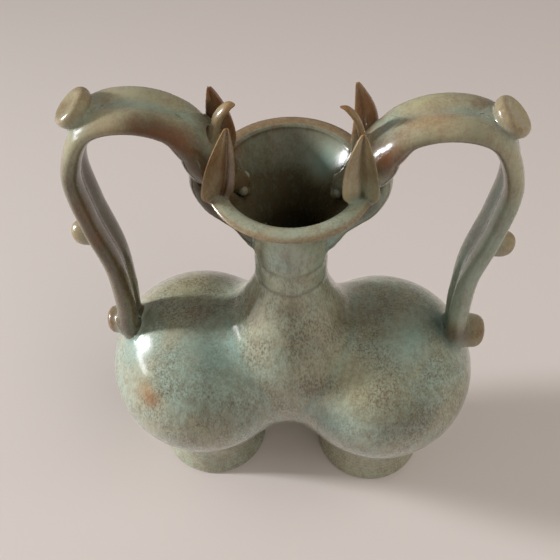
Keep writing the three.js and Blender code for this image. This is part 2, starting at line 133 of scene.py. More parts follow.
class DragonSizes(bpy.types.PropertyGroup):
    head_reach: length("Head reach", "How far the back of the head lies outside the rim", 7)
    head_rise: length("Head rise", "Height of the back of the head above the rim", 29)
    snout_length: length("Snout length", "How far the snout reaches in over the rim", 23.5)
    snout_depth: length("Snout depth", "How far the snout drops below the rim", 16)
    jaw_width: length("Jaw width", "Width of the lower jaw", 26)
    jaw_thickness: length("Jaw thickness", "Thickness of the lower jaw", 13)
    jaw_proud: length("Jaw proud", "How far the jaw's middle stands outside the rim", 2.5)
    jaw_top: length("Jaw top", "Height of the jaw's top above the rim", 9)
    jaw_length: length("Jaw length", "Length of the jaw and beard", 67)
    ear_length: length("Ear length", "Height of each ear", 48)
    ear_width: length("Ear width", "Width of each ear", 19)
    ear_thickness: length("Ear thickness", "Thickness of the ear's rim", 4.6)
    ear_cup: length("Ear cup", "Depth of the ear's cup", 4.4)
    ear_inset: length("Ear inset", "Distance of the ear's root inside the rim", 8.4)
    ear_side: length("Ear side", "Distance of the ear's root from the middle of the head", 16.5)
    ear_crease: length("Ear crease", "Depth of the crease up each ear", 2.2)
    ear_sink: length("Ear sink", "How far the ear's root is sunk below the rim", 2.5)
    crest_width: length("Crest width", "Width of the crest", 12)
    crest_thickness: length("Crest thickness", "Thickness of the crest", 6.8)
    crest_rise: length("Crest rise", "Height of the crest above the brow", 38.75)
    crest_curl: length("Crest curl", "How far the crest's tip curls inwards", 15)
    eye_radius: length("Eye radius", "Radius of each eye", 2.7)
    eye_side: length("Eye side", "Distance of each eye from the middle of the snout", 5.5)
    eye_rise: length("Eye rise", "Height of each eye above the snout's middle", 4.4)


class GlazeColours(bpy.types.PropertyGroup):
    celadon: tint("Celadon", "Blue-green of the full glaze", "#A1B1A2")
    olive: tint("Olive", "Warmer green of the handles", "#A69E78")
    warm: tint("Warm cloud", "Beige of the thinner clouds", "#A8A186")
    speck: tint("Speck", "Iron specks in the glaze", "#453F2F")
    blotch: tint("Blotch", "Wider brown mottling", "#7C7255")
    pool: tint("Pool", "Teal of the pooled glaze", "#7FA59E")
    thin: tint("Thin edge", "Tan where the glaze breaks on an edge", "#A67C4E")
    # Umber is laid both as dark olive-brown glaze and as painted shade in hollows, creases, undersides, the
    # cup and the bore
    umber: tint("Umber", "Dark olive brown of the shaded hollows", "#40361F")
    iron: tint("Iron wash", "Dark rust of the brushed iron", "#6E4022")
    floor: tint("Floor", "Pale floor", "#D8CEC8")


def sizes(group):
    """The settings of one group, as the scene holds them."""
    return getattr(bpy.context.scene, "vase_" + group)


def neck_foot():
    """Height at which the neck stands on the yoke."""
    v = sizes("vessel")
    return v.yoke_belly + v.yoke_rise


def rim_height():
    """Height of the rim above the floor."""
    v = sizes("vessel")
    return neck_foot() + v.neck_length + v.mouth_rise


# Roundness of the meshes, in faces round or along a piece
BODY_SIDES = 340
BODY_RINGS = 200
CAVITY_SIDES = 64
CAVITY_RINGS = 40
PEAR_SIDES = 256
PEAR_STEPS = 96
NECK_STEPS = 40
MOUTH_SIDES = 224
MOUTH_STEPS = 64
LIP_STEPS = 18
THROAT_STEPS = 56
FOOT_SIDES = 192
FOOT_STEPS = 40
COVE_STEPS = 18
FOOT_BORE_STEPS = 12
STRAND_SIDES = 40
STRAND_STATIONS = 250
LEAF_SIDES = 44
LEAF_STATIONS = 64
BUTTON_SIDES = 72
BUTTON_STEPS = 44
BALL_SIDES = 32

# Steps between two points of a smooth curve, and steps of the handle's route on which the buttons
# are set
CURVE_STEPS = 40
ROUTE_STEPS = 1000

# The finest detail of the modelled clay, and how many times a wet finger goes over it
CLAY_VOXEL = 0.75 * MM
CLAY_SMOOTHING = 6

# Rings that the fingers left on the turned feet: their spacing and their depth
THROWING_RINGS = 4.2 * MM
THROWING_DEPTH = 0.16 * MM

# Routes and outlines as shares of the sizes, the same as the solids'
ARCH_SHARES = [(-0.06, 0.22), (0.166, 0.837), (0.473, 1), (0.784, 0.847), (0.987, 0.13)]
LEG_SHARES = [(0.756, 0.79), (-0.05, 0.496), (-0.06, 0.253), (0, 0)]
HEAD_SHARES = [
    (0, 0, 0.8, 0.72), (0.16, 0.2, 0.97, 0.88), (0.36, 0.45, 1, 1), (0.56, 0.65, 0.86, 0.94),
    (0.75, 0.8, 0.64, 0.78), (0.91, 0.93, 0.43, 0.54), (1, 1, 0.16, 0.2),
]
BROW_SHARES = HEAD_SHARES[2]
SNOUT_SHARES = HEAD_SHARES[5]
JAW_SHARES = [
    (-0.03, 0, 0.8, 0.5), (0, 0.2, 1, 0.86), (0.2, 0.39, 0.98, 1), (0.47, 0.54, 0.85, 0.94),
    (0.74, 0.69, 0.7, 0.86), (0.9, 0.85, 0.55, 0.8), (0.99, 1, 0.3, 0.5),
]
EAR_SHARES = [
    (0, 0.3, 0.45), (0.06, 0.7, 0.8), (0.2, 1, 1), (0.4, 0.96, 1),
    (0.64, 0.76, 0.95), (0.85, 0.44, 0.9), (0.96, 0.22, 0.75), (1.01, 0.1, 0.4),
]
CREST_SHARES = [
    (0, -0.12, 0.9, 1), (0.12, 0.3, 1, 1), (0.24, 0.55, 1, 0.96), (0.44, 0.78, 0.86, 0.86),
    (0.72, 0.93, 0.64, 0.72), (1.02, 0.985, 0.12, 0.2),
]
# How far the two ends of the yoke's shoulder curve reach, as shares of the yoke's rise
SHOULDER_SHARES = (0.437, 0.368)
# Height of the neck's turned groove, as a share of the neck
GROOVE_SHARE = 0.433
# Middle and half width of a strand, as shares of its width: the two strands lap at the middle
STRAND_SHARES = (0.476, 0.524)
# How far along a strand it starts to grow rounder and thicker
SWELL_SHARE = 0.55
# How much of a modelled piece's length its round ends take
END_SHARE = 0.05
# Each ear: how far its tip leans in towards the mouth and out to its own side, how much taller it
# is and how far its middle bows outwards, all in millimetres, then its width as a share and the
# place of its crease between its inner edge at -1 and its outer edge at 1
EARS = {
    "right_front_ear": (2.5, 2.5, 1, -1, 1, 0.05), "right_back_ear": (5, 2.5, 0, 3.5, 0.76, -0.2),
    "left_front_ear": (8, 2.5, 3, 0.5, 0.88, -0.35), "left_back_ear": (-3.5, -3, 0, -1, 0.8, 0),
}
# Each side's crest: its slimness as a share, and how far it stands nearer the mouth in millimetres
CRESTS = {"right": (0.56, 3), "left": (0.9, 0)}
# Outlines of the buttons, as shares of their radius and height from the middle of the top down
DISC_SHARES = [
    (0, 0.72), (0.36, 0.74), (0.56, 0.81), (0.68, 0.85), (0.82, 0.83), (0.93, 0.74), (0.99, 0.58),
    (1, 0.42), (0.95, 0.25), (0.84, 0.12), (0.78, 0), (0.82, -0.14),
]
KNOB_SHARES = [(0, 1), (0.36, 0.97), (0.68, 0.86), (0.9, 0.64), (0.99, 0.35), (0.97, 0)]
LOBE_SHARES = [(0, 0.98), (0.45, 0.965), (0.78, 0.87), (0.95, 0.66), (1, 0.35), (0.98, 0)]
# The left lobe is flatter and smaller than the right one, as shares of its radius and height
LEFT_LOBE = (0.82, 0.68)

# Modelled clay of the head: place along the head, above it and to its side, then its three radii
SKULL_CLAY = [
    (3, -0.5, 0, 10, 6.5, 12.5),
    (14, 0.5, 0, 16, 8.6, 14),
    (26, 0.5, 0, 14, 8, 11.5),
    (38, 0, 0, 14, 6.4, 8),
    (47, -0.5, 0, 7.5, 4.6, 5.2),
]
PAIRED_CLAY = [
    (21, 5.6, 6.6, 8.5, 3, 3),
    (16, -2, 10.5, 9, 6, 4.6),
    (33, 1, 7.4, 9, 4, 2.6),
    (50.5, 1, 2.6, 3, 2.8, 2.4),
]
RIDGE_CLAY = [(37, 5.2, 0, 12, 2, 2)]

# The joints between two pieces, with the reach of the glaze's fillet in millimetres. A star stands
# for the front piece and for the back one.
JOINTS = [
    ("body", "yoke", 20), ("left_body", "right_body", 20), ("body", "foot", 6),
    ("body", "*_strand", 6), ("body", "lower_boss", 7), ("front_strand", "back_strand", 4),
    ("*_strand", "dragon_head", 10), ("*_strand", "dragon_jaw", 4), ("*_strand", "elbow_boss", 5),
    ("*_strand", "middle_boss", 3.5), ("*_strand", "lower_boss", 6), ("mouth", "dragon_head", 5),
    ("mouth", "dragon_jaw", 6), ("mouth", "*_ear", 3), ("neck", "dragon_jaw", 6),
    ("dragon_head", "dragon_jaw", 5), ("dragon_head", "*_ear", 3.5), ("dragon_head", "crest", 4),
    ("dragon_head", "*_eye", 1.4), ("*_strand", "*_ear", 3),
]

# How olive, specked, iron-washed and thin the glaze of each piece is; the back ears' larger iron share is
# partly painted shade
CHARACTER = {
    "body": (0.1, 1, 0, 0), "yoke": (0.3, 1, 0, 0), "foot": (0.35, 0.6, 0.15, 0),
    "neck": (0.3, 0.8, 0.05, 0), "mouth": (0.3, 0.4, 0.05, 0), "strand": (0.85, 0.2, 0.1, 0),
    "dragon_head": (0.75, 0.25, 0.25, 0.1), "dragon_jaw": (0.5, 0.3, 0.15, 0.1),
    "ear": (1, 0.1, 0.42, 0.45), "crest": (0.8, 0.1, 0.15, 0.5), "eye": (0.5, 0, 0, 0.1),
    "elbow_boss": (0.9, 0.2, 0.15, 0.25), "middle_boss": (0.9, 0.25, 0.25, 0.2),
    "right_lower_boss": (0.9, 0.3, 0.3, 0), "left_lower_boss": (0.9, 0.3, 0.2, 0),
    "right_front_ear": (1, 0.1, 0.12, 0.3), "left_back_ear": (1, 0.1, 0.75, 0.25),
    "right_back_ear": (1, 0.1, 0.5, 0.4), "right_crest": (1, 0.1, 0.6, 0.4),
}

# Places where the colour differs, by the piece they lie on: which mark, its centre and radius in
# millimetres, and how much it adds there. Most are glaze patches; those noted below are painted shade.
PATCHES = {
    "left body": [
        ("thin", -92, -49, 142, 7, 0.7), ("thin", -96, -46, 147, 6, 0.4),
        # The dark spots at -62, -2, 177, at -48, 0, 176 and at -61, -1, 177 are a painted shadow of the
        # left leg across the shoulder
        ("iron", -91, -49, 142, 6, 0.55), ("umber", -62, -2, 177, 14, 0.35),
        ("umber", -48, 0, 176, 12, 0.35), ("umber", -45, -58, 133, 16, 0.3),
        ("umber", -26, -52, 122, 14, 0.3), ("olive", -71, 26, 171, 26, 0.8),
        ("iron", -61, -1, 177, 11, 0.3), ("umber", -40, 30, 165, 14, 0.3),
        ("pool", -59, -21, 173, 16, 0.35), ("pool", -106, -20, 156, 14, 0.6),
        ("pool", -45, -30, 165, 20, 0.6),
    ],
    "right body": [
        ("umber", 87, -55, 138, 14, 0.5), ("umber", 67, -61, 132, 14, 0.25),
        # The dark spots at 52, -4, 176 and at 66, 13, 176 are a painted shadow of the bell across the right
        # shoulder
        ("umber", 39, 2, 172, 12, 0.3), ("umber", 52, -4, 176, 20, 0.4),
        ("umber", 66, 13, 176, 18, 0.3), ("olive", 48, -47, 153, 22, 0.4),
        ("olive", 40, -36, 160, 20, 0.35), ("pool", 28, -52, 127, 14, 0.6),
        ("pool", 71, -23, 172, 16, 0.35), ("pool", 103, 2, 165, 11, 0.9),
        ("pool", 85, -8, 173, 16, 0.5),
    ],
    "yoke and neck": [
        ("umber", 33, -10, 185, 13, 0.4), ("umber", -3, -24, 214, 9, 0.35),
        ("umber", 7, -32, 189, 18, 0.25), ("umber", 18, -39, 150, 14, 0.4),
        ("umber", -17, -13, 255, 7, 0.4), ("iron", -3, -22, 264, 6, 0.25),
        ("umber", -24, -20, 232, 9, 0.4), ("umber", -28, -12, 203, 9, 0.3),
        ("pool", -5, -21, 259, 9, 0.5),
    ],
    "left arch": [
        # The dark olive-brown spots are painted shade where the arch's lower front faces down; the iron
        # spots beside them are its rust wash
        ("iron", -76, -15, 351, 7, 0.3), ("umber", -76, -15, 350, 7, 0.6),
        ("iron", -67, -15, 350, 8, 0.3), ("umber", -67, -15, 348, 8, 0.75),
        ("iron", -60, -15, 347, 8, 0.3), ("umber", -58, -15, 345, 8, 0.75),
        ("iron", -53, -15, 342, 9, 0.4), ("umber", -49, -15, 336, 10, 0.7),
        ("umber", -46, -16, 329, 8, 0.3), ("thin", -86, -16, 348, 9, 0.4),
        ("umber", -67, -9, 353, 9, 0.25),
    ],
    "right arch": [
        # The dark olive-brown spots are painted shade, under the arch's root by the head and along its
        # front
        ("umber", 46, -14, 331, 10, 0.85), ("iron", 49, -14, 337, 9, 0.6),
        ("umber", 60, -16, 343, 8, 0.35), ("umber", 67, -16, 346, 8, 0.3),
        ("thin", 63, -3, 350, 8, 0.45), ("thin", 72, -5, 354, 9, 0.5), ("umber", 90, -16, 350, 9, 0.3),
        ("iron", 94, 8, 352, 8, 0.45), ("pool", 92, 0, 349, 8, 0.5),
    ],
    "legs and their ends": [
        ("umber", -120, -3, 176, 12, 0.5), ("iron", -112, -14, 287, 10, 0.3),
        ("iron", -110, -15, 267, 9, 0.35), ("umber", -106, -2, 350, 18, 0.3),
        ("umber", 106, -13, 178, 11, 0.6), ("pool", 107, -12, 177, 13, -0.8),
        ("umber", 113, -11, 171, 10, 0.5), ("umber", 121, 0, 172, 10, 0.3),
        ("iron", -122, -4, 163, 8, 0.5),
    ],
    "heads and ears": [
        # The dark olive-brown spots round the heads and snouts are painted shade
        ("pool", -47, -12, 322, 9, 0.6), ("umber", -28, -21, 332, 9, 0.5),
        ("umber", -30, -20, 318, 8, 0.5), ("umber", -40, 13, 343, 20, 0.4),
        ("umber", -33, 15, 331, 12, 0.3), ("umber", -25, -5, 304, 16, 0.7),
        ("umber", 26, -2, 303, 12, 0.4), ("umber", -45, -13, 296, 9, 0.5),
        ("umber", 44, -13, 294, 11, 0.6), ("iron", 41, 19, 334, 16, 0.3), ("pool", 33, 8, 315, 9, 0.8),
    ],
}

# Places in the cup where blue-green glaze has pooled over the dark inside, which is partly painted shade,
# and their radius, in millimetres
CUP_POOLS = [(21, 22, 298, 11), (17, 22, 292, 8)]

# The middle of each handle's loop, outwards and up
LOOP_MIDDLE = (80 * MM, 250 * MM)
# Each leg's glaze and painted shade: the height below which it changes, how much of the painted shade on
# the inner side it lifts, and how much dark olive brown, partly painted shade, and pooled glaze it adds
LEG_GLAZE_AND_SHADE = {"left": (345 * MM, 0.2, 0.78, 0), "right": (325 * MM, 0.85, 0, 0.7)}

# Each piece's whole outer form, as its surface tree, its lowest and highest corners, and whether
# the piece is hollowed out of it
forms = {}


# Curves

def spline(points, count):
    """Even points and directions along a centripetal curve through the given points."""
    p = np.array(points, dtype=float)
    p = np.vstack([2 * p[0] - p[1], p, 2 * p[-1] - p[-2]])
    steps = np.linspace(0, 1, CURVE_STEPS, endpoint=False)[:, None]
    dense = []
    for a, b, c, d in zip(p, p[1:], p[2:], p[3:]):
        before, here, after = (np.sqrt(np.linalg.norm(v)) for v in (b - a, c - b, d - c))
        leave = ((b - a) / before - (c - a) / (before + here) + (c - b) / here) * here
        arrive = ((c - b) / here - (d - b) / (here + after) + (d - c) / after) * here
        dense.append(
            b + leave * steps
            + (-3 * b + 3 * c - 2 * leave - arrive) * steps**2
            + (2 * b - 2 * c + leave + arrive) * steps**3
        )
    dense = np.vstack([*dense, p[-2]])
    along = np.concatenate([[0], np.cumsum(np.linalg.norm(np.diff(dense, axis=0), axis=1))])
    even = np.linspace(0, along[-1], count)
    route = np.stack([np.interp(even, along, dense[:, i]) for i in range(dense.shape[1])], axis=1)
    heading = np.gradient(route, axis=0)
    return route, heading / np.linalg.norm(heading, axis=1, keepdims=True)


def bezier(a, b, c, d, count):
    """Points along a cubic curve."""
    t = np.linspace(0, 1, count)[:, None]
    a, b, c, d = (np.array(p) for p in (a, b, c, d))
    return a * (1 - t) ** 3 + 3 * b * t * (1 - t) ** 2 + 3 * c * t**2 * (1 - t) + d * t**3


def ovoid_outline(radius, half_height, centre, steps):
    """Radius and height of an ovoid from its bottom pole to its top pole."""
    angle = np.linspace(-math.pi / 2, math.pi / 2, steps)
    return np.stack([radius * np.cos(angle).clip(0), centre + half_height * np.sin(angle)], axis=1)


# Forms

def turned(outline, sides, across=0, ring=False):
    """Spins an outline of radius and height about an upright axis."""
    bm = bmesh.new()
    verts = [bm.verts.new((radius, 0, height)) for radius, height in outline]
    follow = verts[1:] + (verts[:1] if ring else [])
    edges = [bm.edges.new(pair) for pair in zip(verts, follow)]
    bmesh.ops.spin(
        bm, geom=verts + edges, cent=(0, 0, 0), axis=(0, 0, 1), angle=TURN, steps=sides, use_merge=True,
    )
    bmesh.ops.remove_doubles(bm, verts=bm.verts, dist=0.01 * MM)
    bmesh.ops.translate(bm, verts=bm.verts, vec=(across, 0, 0))
    bmesh.ops.recalc_face_normals(bm, faces=bm.faces)
    return bm


def wrapped(sections):
    """A grid wrapped into a closed form, one section to a row; open ends are filled."""
    rows, sides = sections.shape[:2]
    bm = bmesh.new()
    sheet = bmesh.ops.create_grid(bm, x_segments=sides, y_segments=rows - 1, size=1)["verts"]
    for i, vert in enumerate(sheet):
        vert.co = sections[i // (sides + 1), i % (sides + 1) % sides]
    bmesh.ops.remove_doubles(bm, verts=bm.verts, dist=0.01 * MM)
    bmesh.ops.holes_fill(bm, edges=[e for e in bm.edges if e.is_boundary], sides=0)
    bmesh.ops.recalc_face_normals(bm, faces=bm.faces)
    return bm


def linked(name, bm):
    """A new object that holds a form."""
    mesh = bpy.data.meshes.new(name)
    bm.to_mesh(mesh)
    block = bpy.data.objects.new(name, mesh)
    bpy.context.scene.collection.objects.link(block)
    return block


def discard(block):
    """Takes away an object and its mesh."""
    mesh = block.data
    bpy.data.objects.remove(block)
    bpy.data.meshes.remove(mesh)


def carried(bm, modifiers):
    """A form after modifiers have worked on it: each is a type and its settings."""
    block = linked("clay", bm)
    for kind, settings in modifiers:
        modifier = block.modifiers.new(kind, kind)
        for key, value in settings.items():
            setattr(modifier, key, value)
    finished = bpy.data.meshes.new_from_object(block.evaluated_get(bpy.context.evaluated_depsgraph_get()))
    made = bmesh.new()
    made.from_mesh(finished)
    bpy.data.meshes.remove(finished)
    discard(block)
    return made


def hollowed(bm, *tools):
    """A form with the tools' forms cut out of it."""
    blocks = [linked("tool", tool) for tool in tools]
    cuts = [("BOOLEAN", {"operation": "DIFFERENCE", "solver": "MANIFOLD", "object": b}) for b in blocks]
    made = carried(bm, cuts)
    for block in blocks:
        discard(block)
    return made


def mirrored(bm, signs=(-1, 1, 1)):
    """The same form on the other side of the vase, or on its back with other signs."""
    twin = bm.copy()
    bmesh.ops.scale(twin, verts=twin.verts, vec=signs)
    bmesh.ops.reverse_faces(twin, faces=twin.faces)
    return twin


def add_piece(node, bm, solid=None):
    """Links a piece that stands for a node, and keeps its whole outer form for the joints."""
    piece = linked(node + "_glazed", bm)
    outer = solid or bm
    corners = np.array([v.co for v in outer.verts])
    forms[node] = (BVHTree.FromBMesh(outer), corners.min(axis=0), corners.max(axis=0), solid is not None)
    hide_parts(node)
    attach(piece, "root")
    return piece


def add_pair(part, bm, solid=None):
    """A piece on the right and its mirrored twin on the left."""
    add_piece("right_" + part, bm, solid)
    add_piece("left_" + part, mirrored(bm), mirrored(solid) if solid else None)


# The vessel

def body_form(v, inset, sides, rings):
    """The right body, or with an inset the hollow inside it."""
    outline = ovoid_outline(v.body_radius - inset, v.body_half_height - inset, v.body_centre, rings)
    return turned(outline, sides, v.body_axis)


def pear_outline(v, inset, overrun, steps):
    """Radius and height of the yoke from its bottom pole up, and past its top by an overrun."""
    belly = ovoid_outline(v.yoke_radius - inset, v.yoke_depth - inset, v.yoke_belly, 2 * steps)[:steps]
    waist = v.neck_radius - inset
    top = v.yoke_belly + v.yoke_rise
    shoulder = bezier(
        (v.yoke_radius - inset, v.yoke_belly),
        (v.yoke_radius - inset, v.yoke_belly + v.yoke_rise * SHOULDER_SHARES[0]),
        (waist, top - v.yoke_rise * SHOULDER_SHARES[1]), (waist, top), steps,
    )
    lid = [(waist, top + overrun), (0, top + overrun)] if overrun else [(0, top)]
    return np.vstack([belly, shoulder, lid])


class VASE_OT_bodies(bpy.types.Operator):
    """Throw the two round bodies, hollow and open to the yoke"""

    bl_idname = "vase.bodies"
    bl_label = "Bodies"

    def execute(self, context):
        v = sizes("vessel")
        whole = body_form(v, 0, BODY_SIDES, BODY_RINGS)
        cavity = body_form(v, v.body_wall, CAVITY_SIDES, CAVITY_RINGS)
        throat = turned(pear_outline(v, v.body_wall, v.body_wall, CAVITY_RINGS), CAVITY_SIDES)
        add_pair("body", hollowed(whole, cavity, throat), whole)
        return {"FINISHED"}


class VASE_OT_yoke(bpy.types.Operator):
    """Throw the pear that joins the bodies and carries the neck"""

    bl_idname = "vase.yoke"
    bl_label = "Yoke"

    def execute(self, context):
        v = sizes("vessel")
        outline = pear_outline(v, 0, 0, PEAR_STEPS)
        below = (neck_foot() - v.groove_width - outline[:, 1]) / v.groove_width
        outline[:-1, 0] -= v.groove_depth * np.exp(-((2 * below[:-1]) ** 2))
        whole = turned(outline, PEAR_SIDES)
        throat = turned(pear_outline(v, v.body_wall, v.body_wall, CAVITY_RINGS), CAVITY_SIDES)
        right = body_form(v, v.body_wall, CAVITY_SIDES, CAVITY_RINGS)
        made = hollowed(whole, throat, right, mirrored(right))
        add_piece("yoke", made, whole)
        return {"FINISHED"}


class VASE_OT_neck(bpy.types.Operator):
    """Throw the neck with its turned groove"""

    bl_idname = "vase.neck"
    bl_label = "Neck"

    def execute(self, context):
        v = sizes("vessel")
        low = neck_foot()
        heights = np.linspace(low, low + v.neck_length, NECK_STEPS)
        off = (heights - low - v.neck_length * GROOVE_SHARE) / v.groove_width * 2
        groove = v.groove_depth * np.exp(-(off**2))
        bore = v.neck_radius - v.body_wall
        outside = np.stack([v.neck_radius - groove, heights], axis=1)
        outline = np.vstack([outside, [(bore, low + v.neck_length), (bore, low)]])
        add_piece("neck", turned(outline, PEAR_SIDES, ring=True))
        return {"FINISHED"}


class VASE_OT_mouth(bpy.types.Operator):
    """Throw the trumpet mouth with its broad rolled lip"""

    bl_idname = "vase.mouth"
    bl_label = "Mouth"

    def execute(self, context):
        v = sizes("vessel")
        low = neck_foot() + v.neck_length
        rim = rim_height()
        bore = v.neck_radius - v.body_wall
        edge = v.rim_radius - v.lip_width * 0.12
        inner = v.rim_radius - v.lip_width
        middle = (v.neck_radius + v.rim_radius) / 2
        outside = bezier(
            (v.neck_radius, low), (v.neck_radius, low + v.mouth_rise * 0.45),
            (middle, low + v.mouth_rise * 0.85), (edge, rim - 2 * v.lip_drop), MOUTH_STEPS,
        )
        lip, _ = spline(
            [
                (edge, rim - 2 * v.lip_drop), (v.rim_radius, rim - v.lip_drop),
                (v.rim_radius - v.lip_width * 0.18, rim - v.lip_drop * 0.3),
                (v.rim_radius - v.lip_width / 2, rim),
                (inner + v.lip_width * 0.16, rim - v.lip_drop * 0.12),
                (inner, rim - v.lip_drop / 2),
            ],
            LIP_STEPS,
        )
        shelf = bore + (inner - bore) * 0.85
        inside = bezier(
            (inner, rim - v.lip_drop / 2), (shelf, low + v.mouth_rise * 0.85),
            (bore, low + v.mouth_rise * 0.45), (bore, low), THROAT_STEPS,
        )
        outline = np.vstack([outside, lip[1:-1], inside])
        add_piece("mouth", turned(outline, MOUTH_SIDES, ring=True))
        return {"FINISHED"}


class VASE_OT_feet(bpy.types.Operator):
    """Turn the two hollow ring feet"""

    bl_idname = "vase.feet"
    bl_label = "Feet"

    def execute(self, context):
        v = sizes("vessel")
        under = v.body_centre - v.body_half_height * math.sqrt(1 - (v.foot_shoulder / v.body_radius) ** 2)
        waist, height = v.foot_waist, v.foot_waist_height
        flare = bezier(
            (v.foot_radius, v.foot_edge), (waist + (v.foot_radius - waist) / 3, 0.43 * height),
            (waist, 0.6 * height), (waist, height), FOOT_STEPS,
        )
        flare[:, 0] += THROWING_DEPTH * np.sin(flare[:, 1] / THROWING_RINGS * TURN)
        halfway = (height + under) / 2
        cove = bezier(
            (waist, height), (waist, height + (halfway - height) * 0.67),
            (waist + (v.foot_shoulder - waist) / 3, halfway + (under - halfway) / 3),
            (v.foot_shoulder, under), COVE_STEPS,
        )
        hidden = under + v.body_wall / 2
        bore = waist - v.foot_wall
        outline = np.vstack([
            [(v.foot_radius - v.foot_edge, 0)],
            [(v.foot_radius - 0.3 * v.foot_edge, 0.35 * v.foot_edge)],
            flare, cove[1:],
            [(v.foot_shoulder - v.foot_edge, hidden), (bore, hidden - v.body_wall)],
            [(bore, h) for h in np.linspace(hidden - 1.5 * v.body_wall, height, FOOT_BORE_STEPS)],
            [(v.foot_radius - v.foot_wall - v.foot_edge, v.foot_edge), (v.foot_radius - v.foot_wall, 0)],
        ])
        add_pair("foot", turned(outline, FOOT_SIDES, v.body_axis, ring=True))
        return {"FINISHED"}


# The handles

def handle_route(count):
    """The centre line of the right handle, from the back of the head into the body's wall."""
    v, h = sizes("vessel"), sizes("handle")
    rim = rim_height()
    offset = (h.landing_reach - v.body_axis) / v.body_radius
    low = v.body_centre + v.body_half_height * math.sqrt(1 - offset**2)
    arch = [(v.rim_radius + (h.reach - v.rim_radius) * a, 0, rim + h.arch_rise * b) for a, b in ARCH_SHARES]
    leg = [
        (h.landing_reach + (h.reach - h.landing_reach) * a, 0, low + (rim - low) * b) for a, b in LEG_SHARES
    ]
    inward = Vector((-offset / v.body_radius, 0, -math.sqrt(1 - offset**2) / v.body_half_height))
    root = Vector((h.landing_reach, 0, low)) + inward.normalized() * h.strand_width
    return spline([*arch, *leg, root], count)


def sideways(heading):
    """The direction square to a heading in the plane of the handles, outwards on the leg."""
    return np.stack([-heading[:, 2], heading[:, 1] * 0, heading[:, 0]], axis=1)


def strand_section(run):
    """Width and thickness at shares of a strand's length: it grows round and thick down the leg."""
    h = sizes("handle")
    swell = smoothstep(run, SWELL_SHARE, 1)
    width = h.strand_width + (h.foot_width - h.strand_width) * swell
    return width, h.strand_thickness + (h.foot_thickness - h.strand_thickness) * swell


class VASE_OT_strands(bpy.types.Operator):
    """Roll the two strands of each handle"""

    bl_idname = "vase.strands"
    bl_label = "Strands"

    def execute(self, context):
        v, h = sizes("vessel"), sizes("handle")
        route, heading = handle_route(STRAND_STATIONS)
        out = sideways(heading)
        run = np.linspace(0, 1, STRAND_STATIONS)
        width, thickness = strand_section(run)
        angle = np.linspace(0, TURN, STRAND_SIDES, endpoint=False)
        across = width[:, None] * (STRAND_SHARES[0] + STRAND_SHARES[1] * np.cos(angle))
        proud = thickness[:, None] / 2 * np.sin(angle)
        sections = route[:, None, :] + out[:, None, :] * proud[:, :, None]
        sections[:, :, 1] = -across
        middle = np.array([v.body_axis, 0, v.body_centre])
        radii = np.array([v.body_radius, v.body_radius, v.body_half_height])
        depth = np.linalg.norm((sections - middle) / radii, axis=2)
        floor = 1 - 0.6 * v.body_wall / v.body_radius
        sunk = (depth < floor) & (route[:, 2] < v.body_centre + v.body_radius)[:, None]
        pushed = middle + (sections - middle) * (floor / depth)[:, :, None]
        sections = np.where(sunk[:, :, None], pushed, sections)
        keep = ~sunk.all(axis=1)
        keep[: STRAND_STATIONS // 2] = True
        strand = wrapped(sections[keep])
        add_pair("front_strand", strand)
        add_pair("back_strand", mirrored(strand, (1, -1, 1)))
        return {"FINISHED"}


def button(place, outward, outline, stretch):
    """A button of clay, drawn out along the handle and set square on it."""
    bm = turned(outline, BUTTON_SIDES)
    bmesh.ops.scale(bm, verts=bm.verts, vec=(stretch, 1, 1))
    turn = Vector((0, 0, 1)).rotation_difference(Vector(outward)).to_matrix().to_4x4()
    bmesh.ops.transform(bm, matrix=Matrix.Translation(place) @ turn, verts=bm.verts)
    return bm


class VASE_OT_bosses(bpy.types.Operator):
    """Press the disc, the knob and the lobe on the outside of each handle"""

    bl_idname = "vase.bosses"
    bl_label = "Bosses"

    def execute(self, context):
        h = sizes("handle")
        route, heading = handle_route(ROUTE_STEPS + 1)
        out = sideways(heading)
        # Place along the handle as a share, radius, height, outline, how far it is drawn out, slot
        buttons = {
            "elbow_boss": (0.272, h.elbow_radius, h.elbow_height, DISC_SHARES, 1, "olive_glaze"),
            "middle_boss": (0.595, h.knob_radius, h.knob_height, KNOB_SHARES, 1.3, "olive_glaze"),
            "lower_boss": (0.927, h.lobe_radius, h.lobe_height, LOBE_SHARES, 1, "iron_glaze"),
        }
        for part, (along, radius, height, shares, stretch, slot) in buttons.items():
            i = round(along * ROUTE_STEPS)
            sink = strand_section(along)[1] / 2
            for side in SIDES:
                small = LEFT_LOBE if (side, part) == ("left", "lower_boss") else (1, 1)
                rows = [(radius * small[0] * a, height * small[1] * b) for a, b in shares]
                outline, _ = spline([*rows, (0.9 * radius * small[0], -sink)], BUTTON_STEPS)
                outline = np.vstack([outline, [(0, -sink)]])
                outline[0, 0] = 0
                bm = button(route[i] + out[i] * sink, out[i], outline[::-1], stretch)
                add_piece(side + "_" + part, bm if side == "right" else mirrored(bm))
        return {"FINISHED"}


# The dragons

def head_ends():
    """The middle of the head's back and the tip of its snout."""
    v, d = sizes("vessel"), sizes("dragon")
    back = Vector((v.rim_radius + d.head_reach, 0, rim_height() + d.head_rise))
    tip = Vector((v.rim_radius - d.snout_length, 0, rim_height() - d.snout_depth))
    return back, tip


def head_place(row):
    """A place on the middle line of the head, from a row of its shares."""
    back, tip = head_ends()
    return Vector((back.x + (tip.x - back.x) * row[0], 0, back.z + (tip.z - back.z) * row[1]))


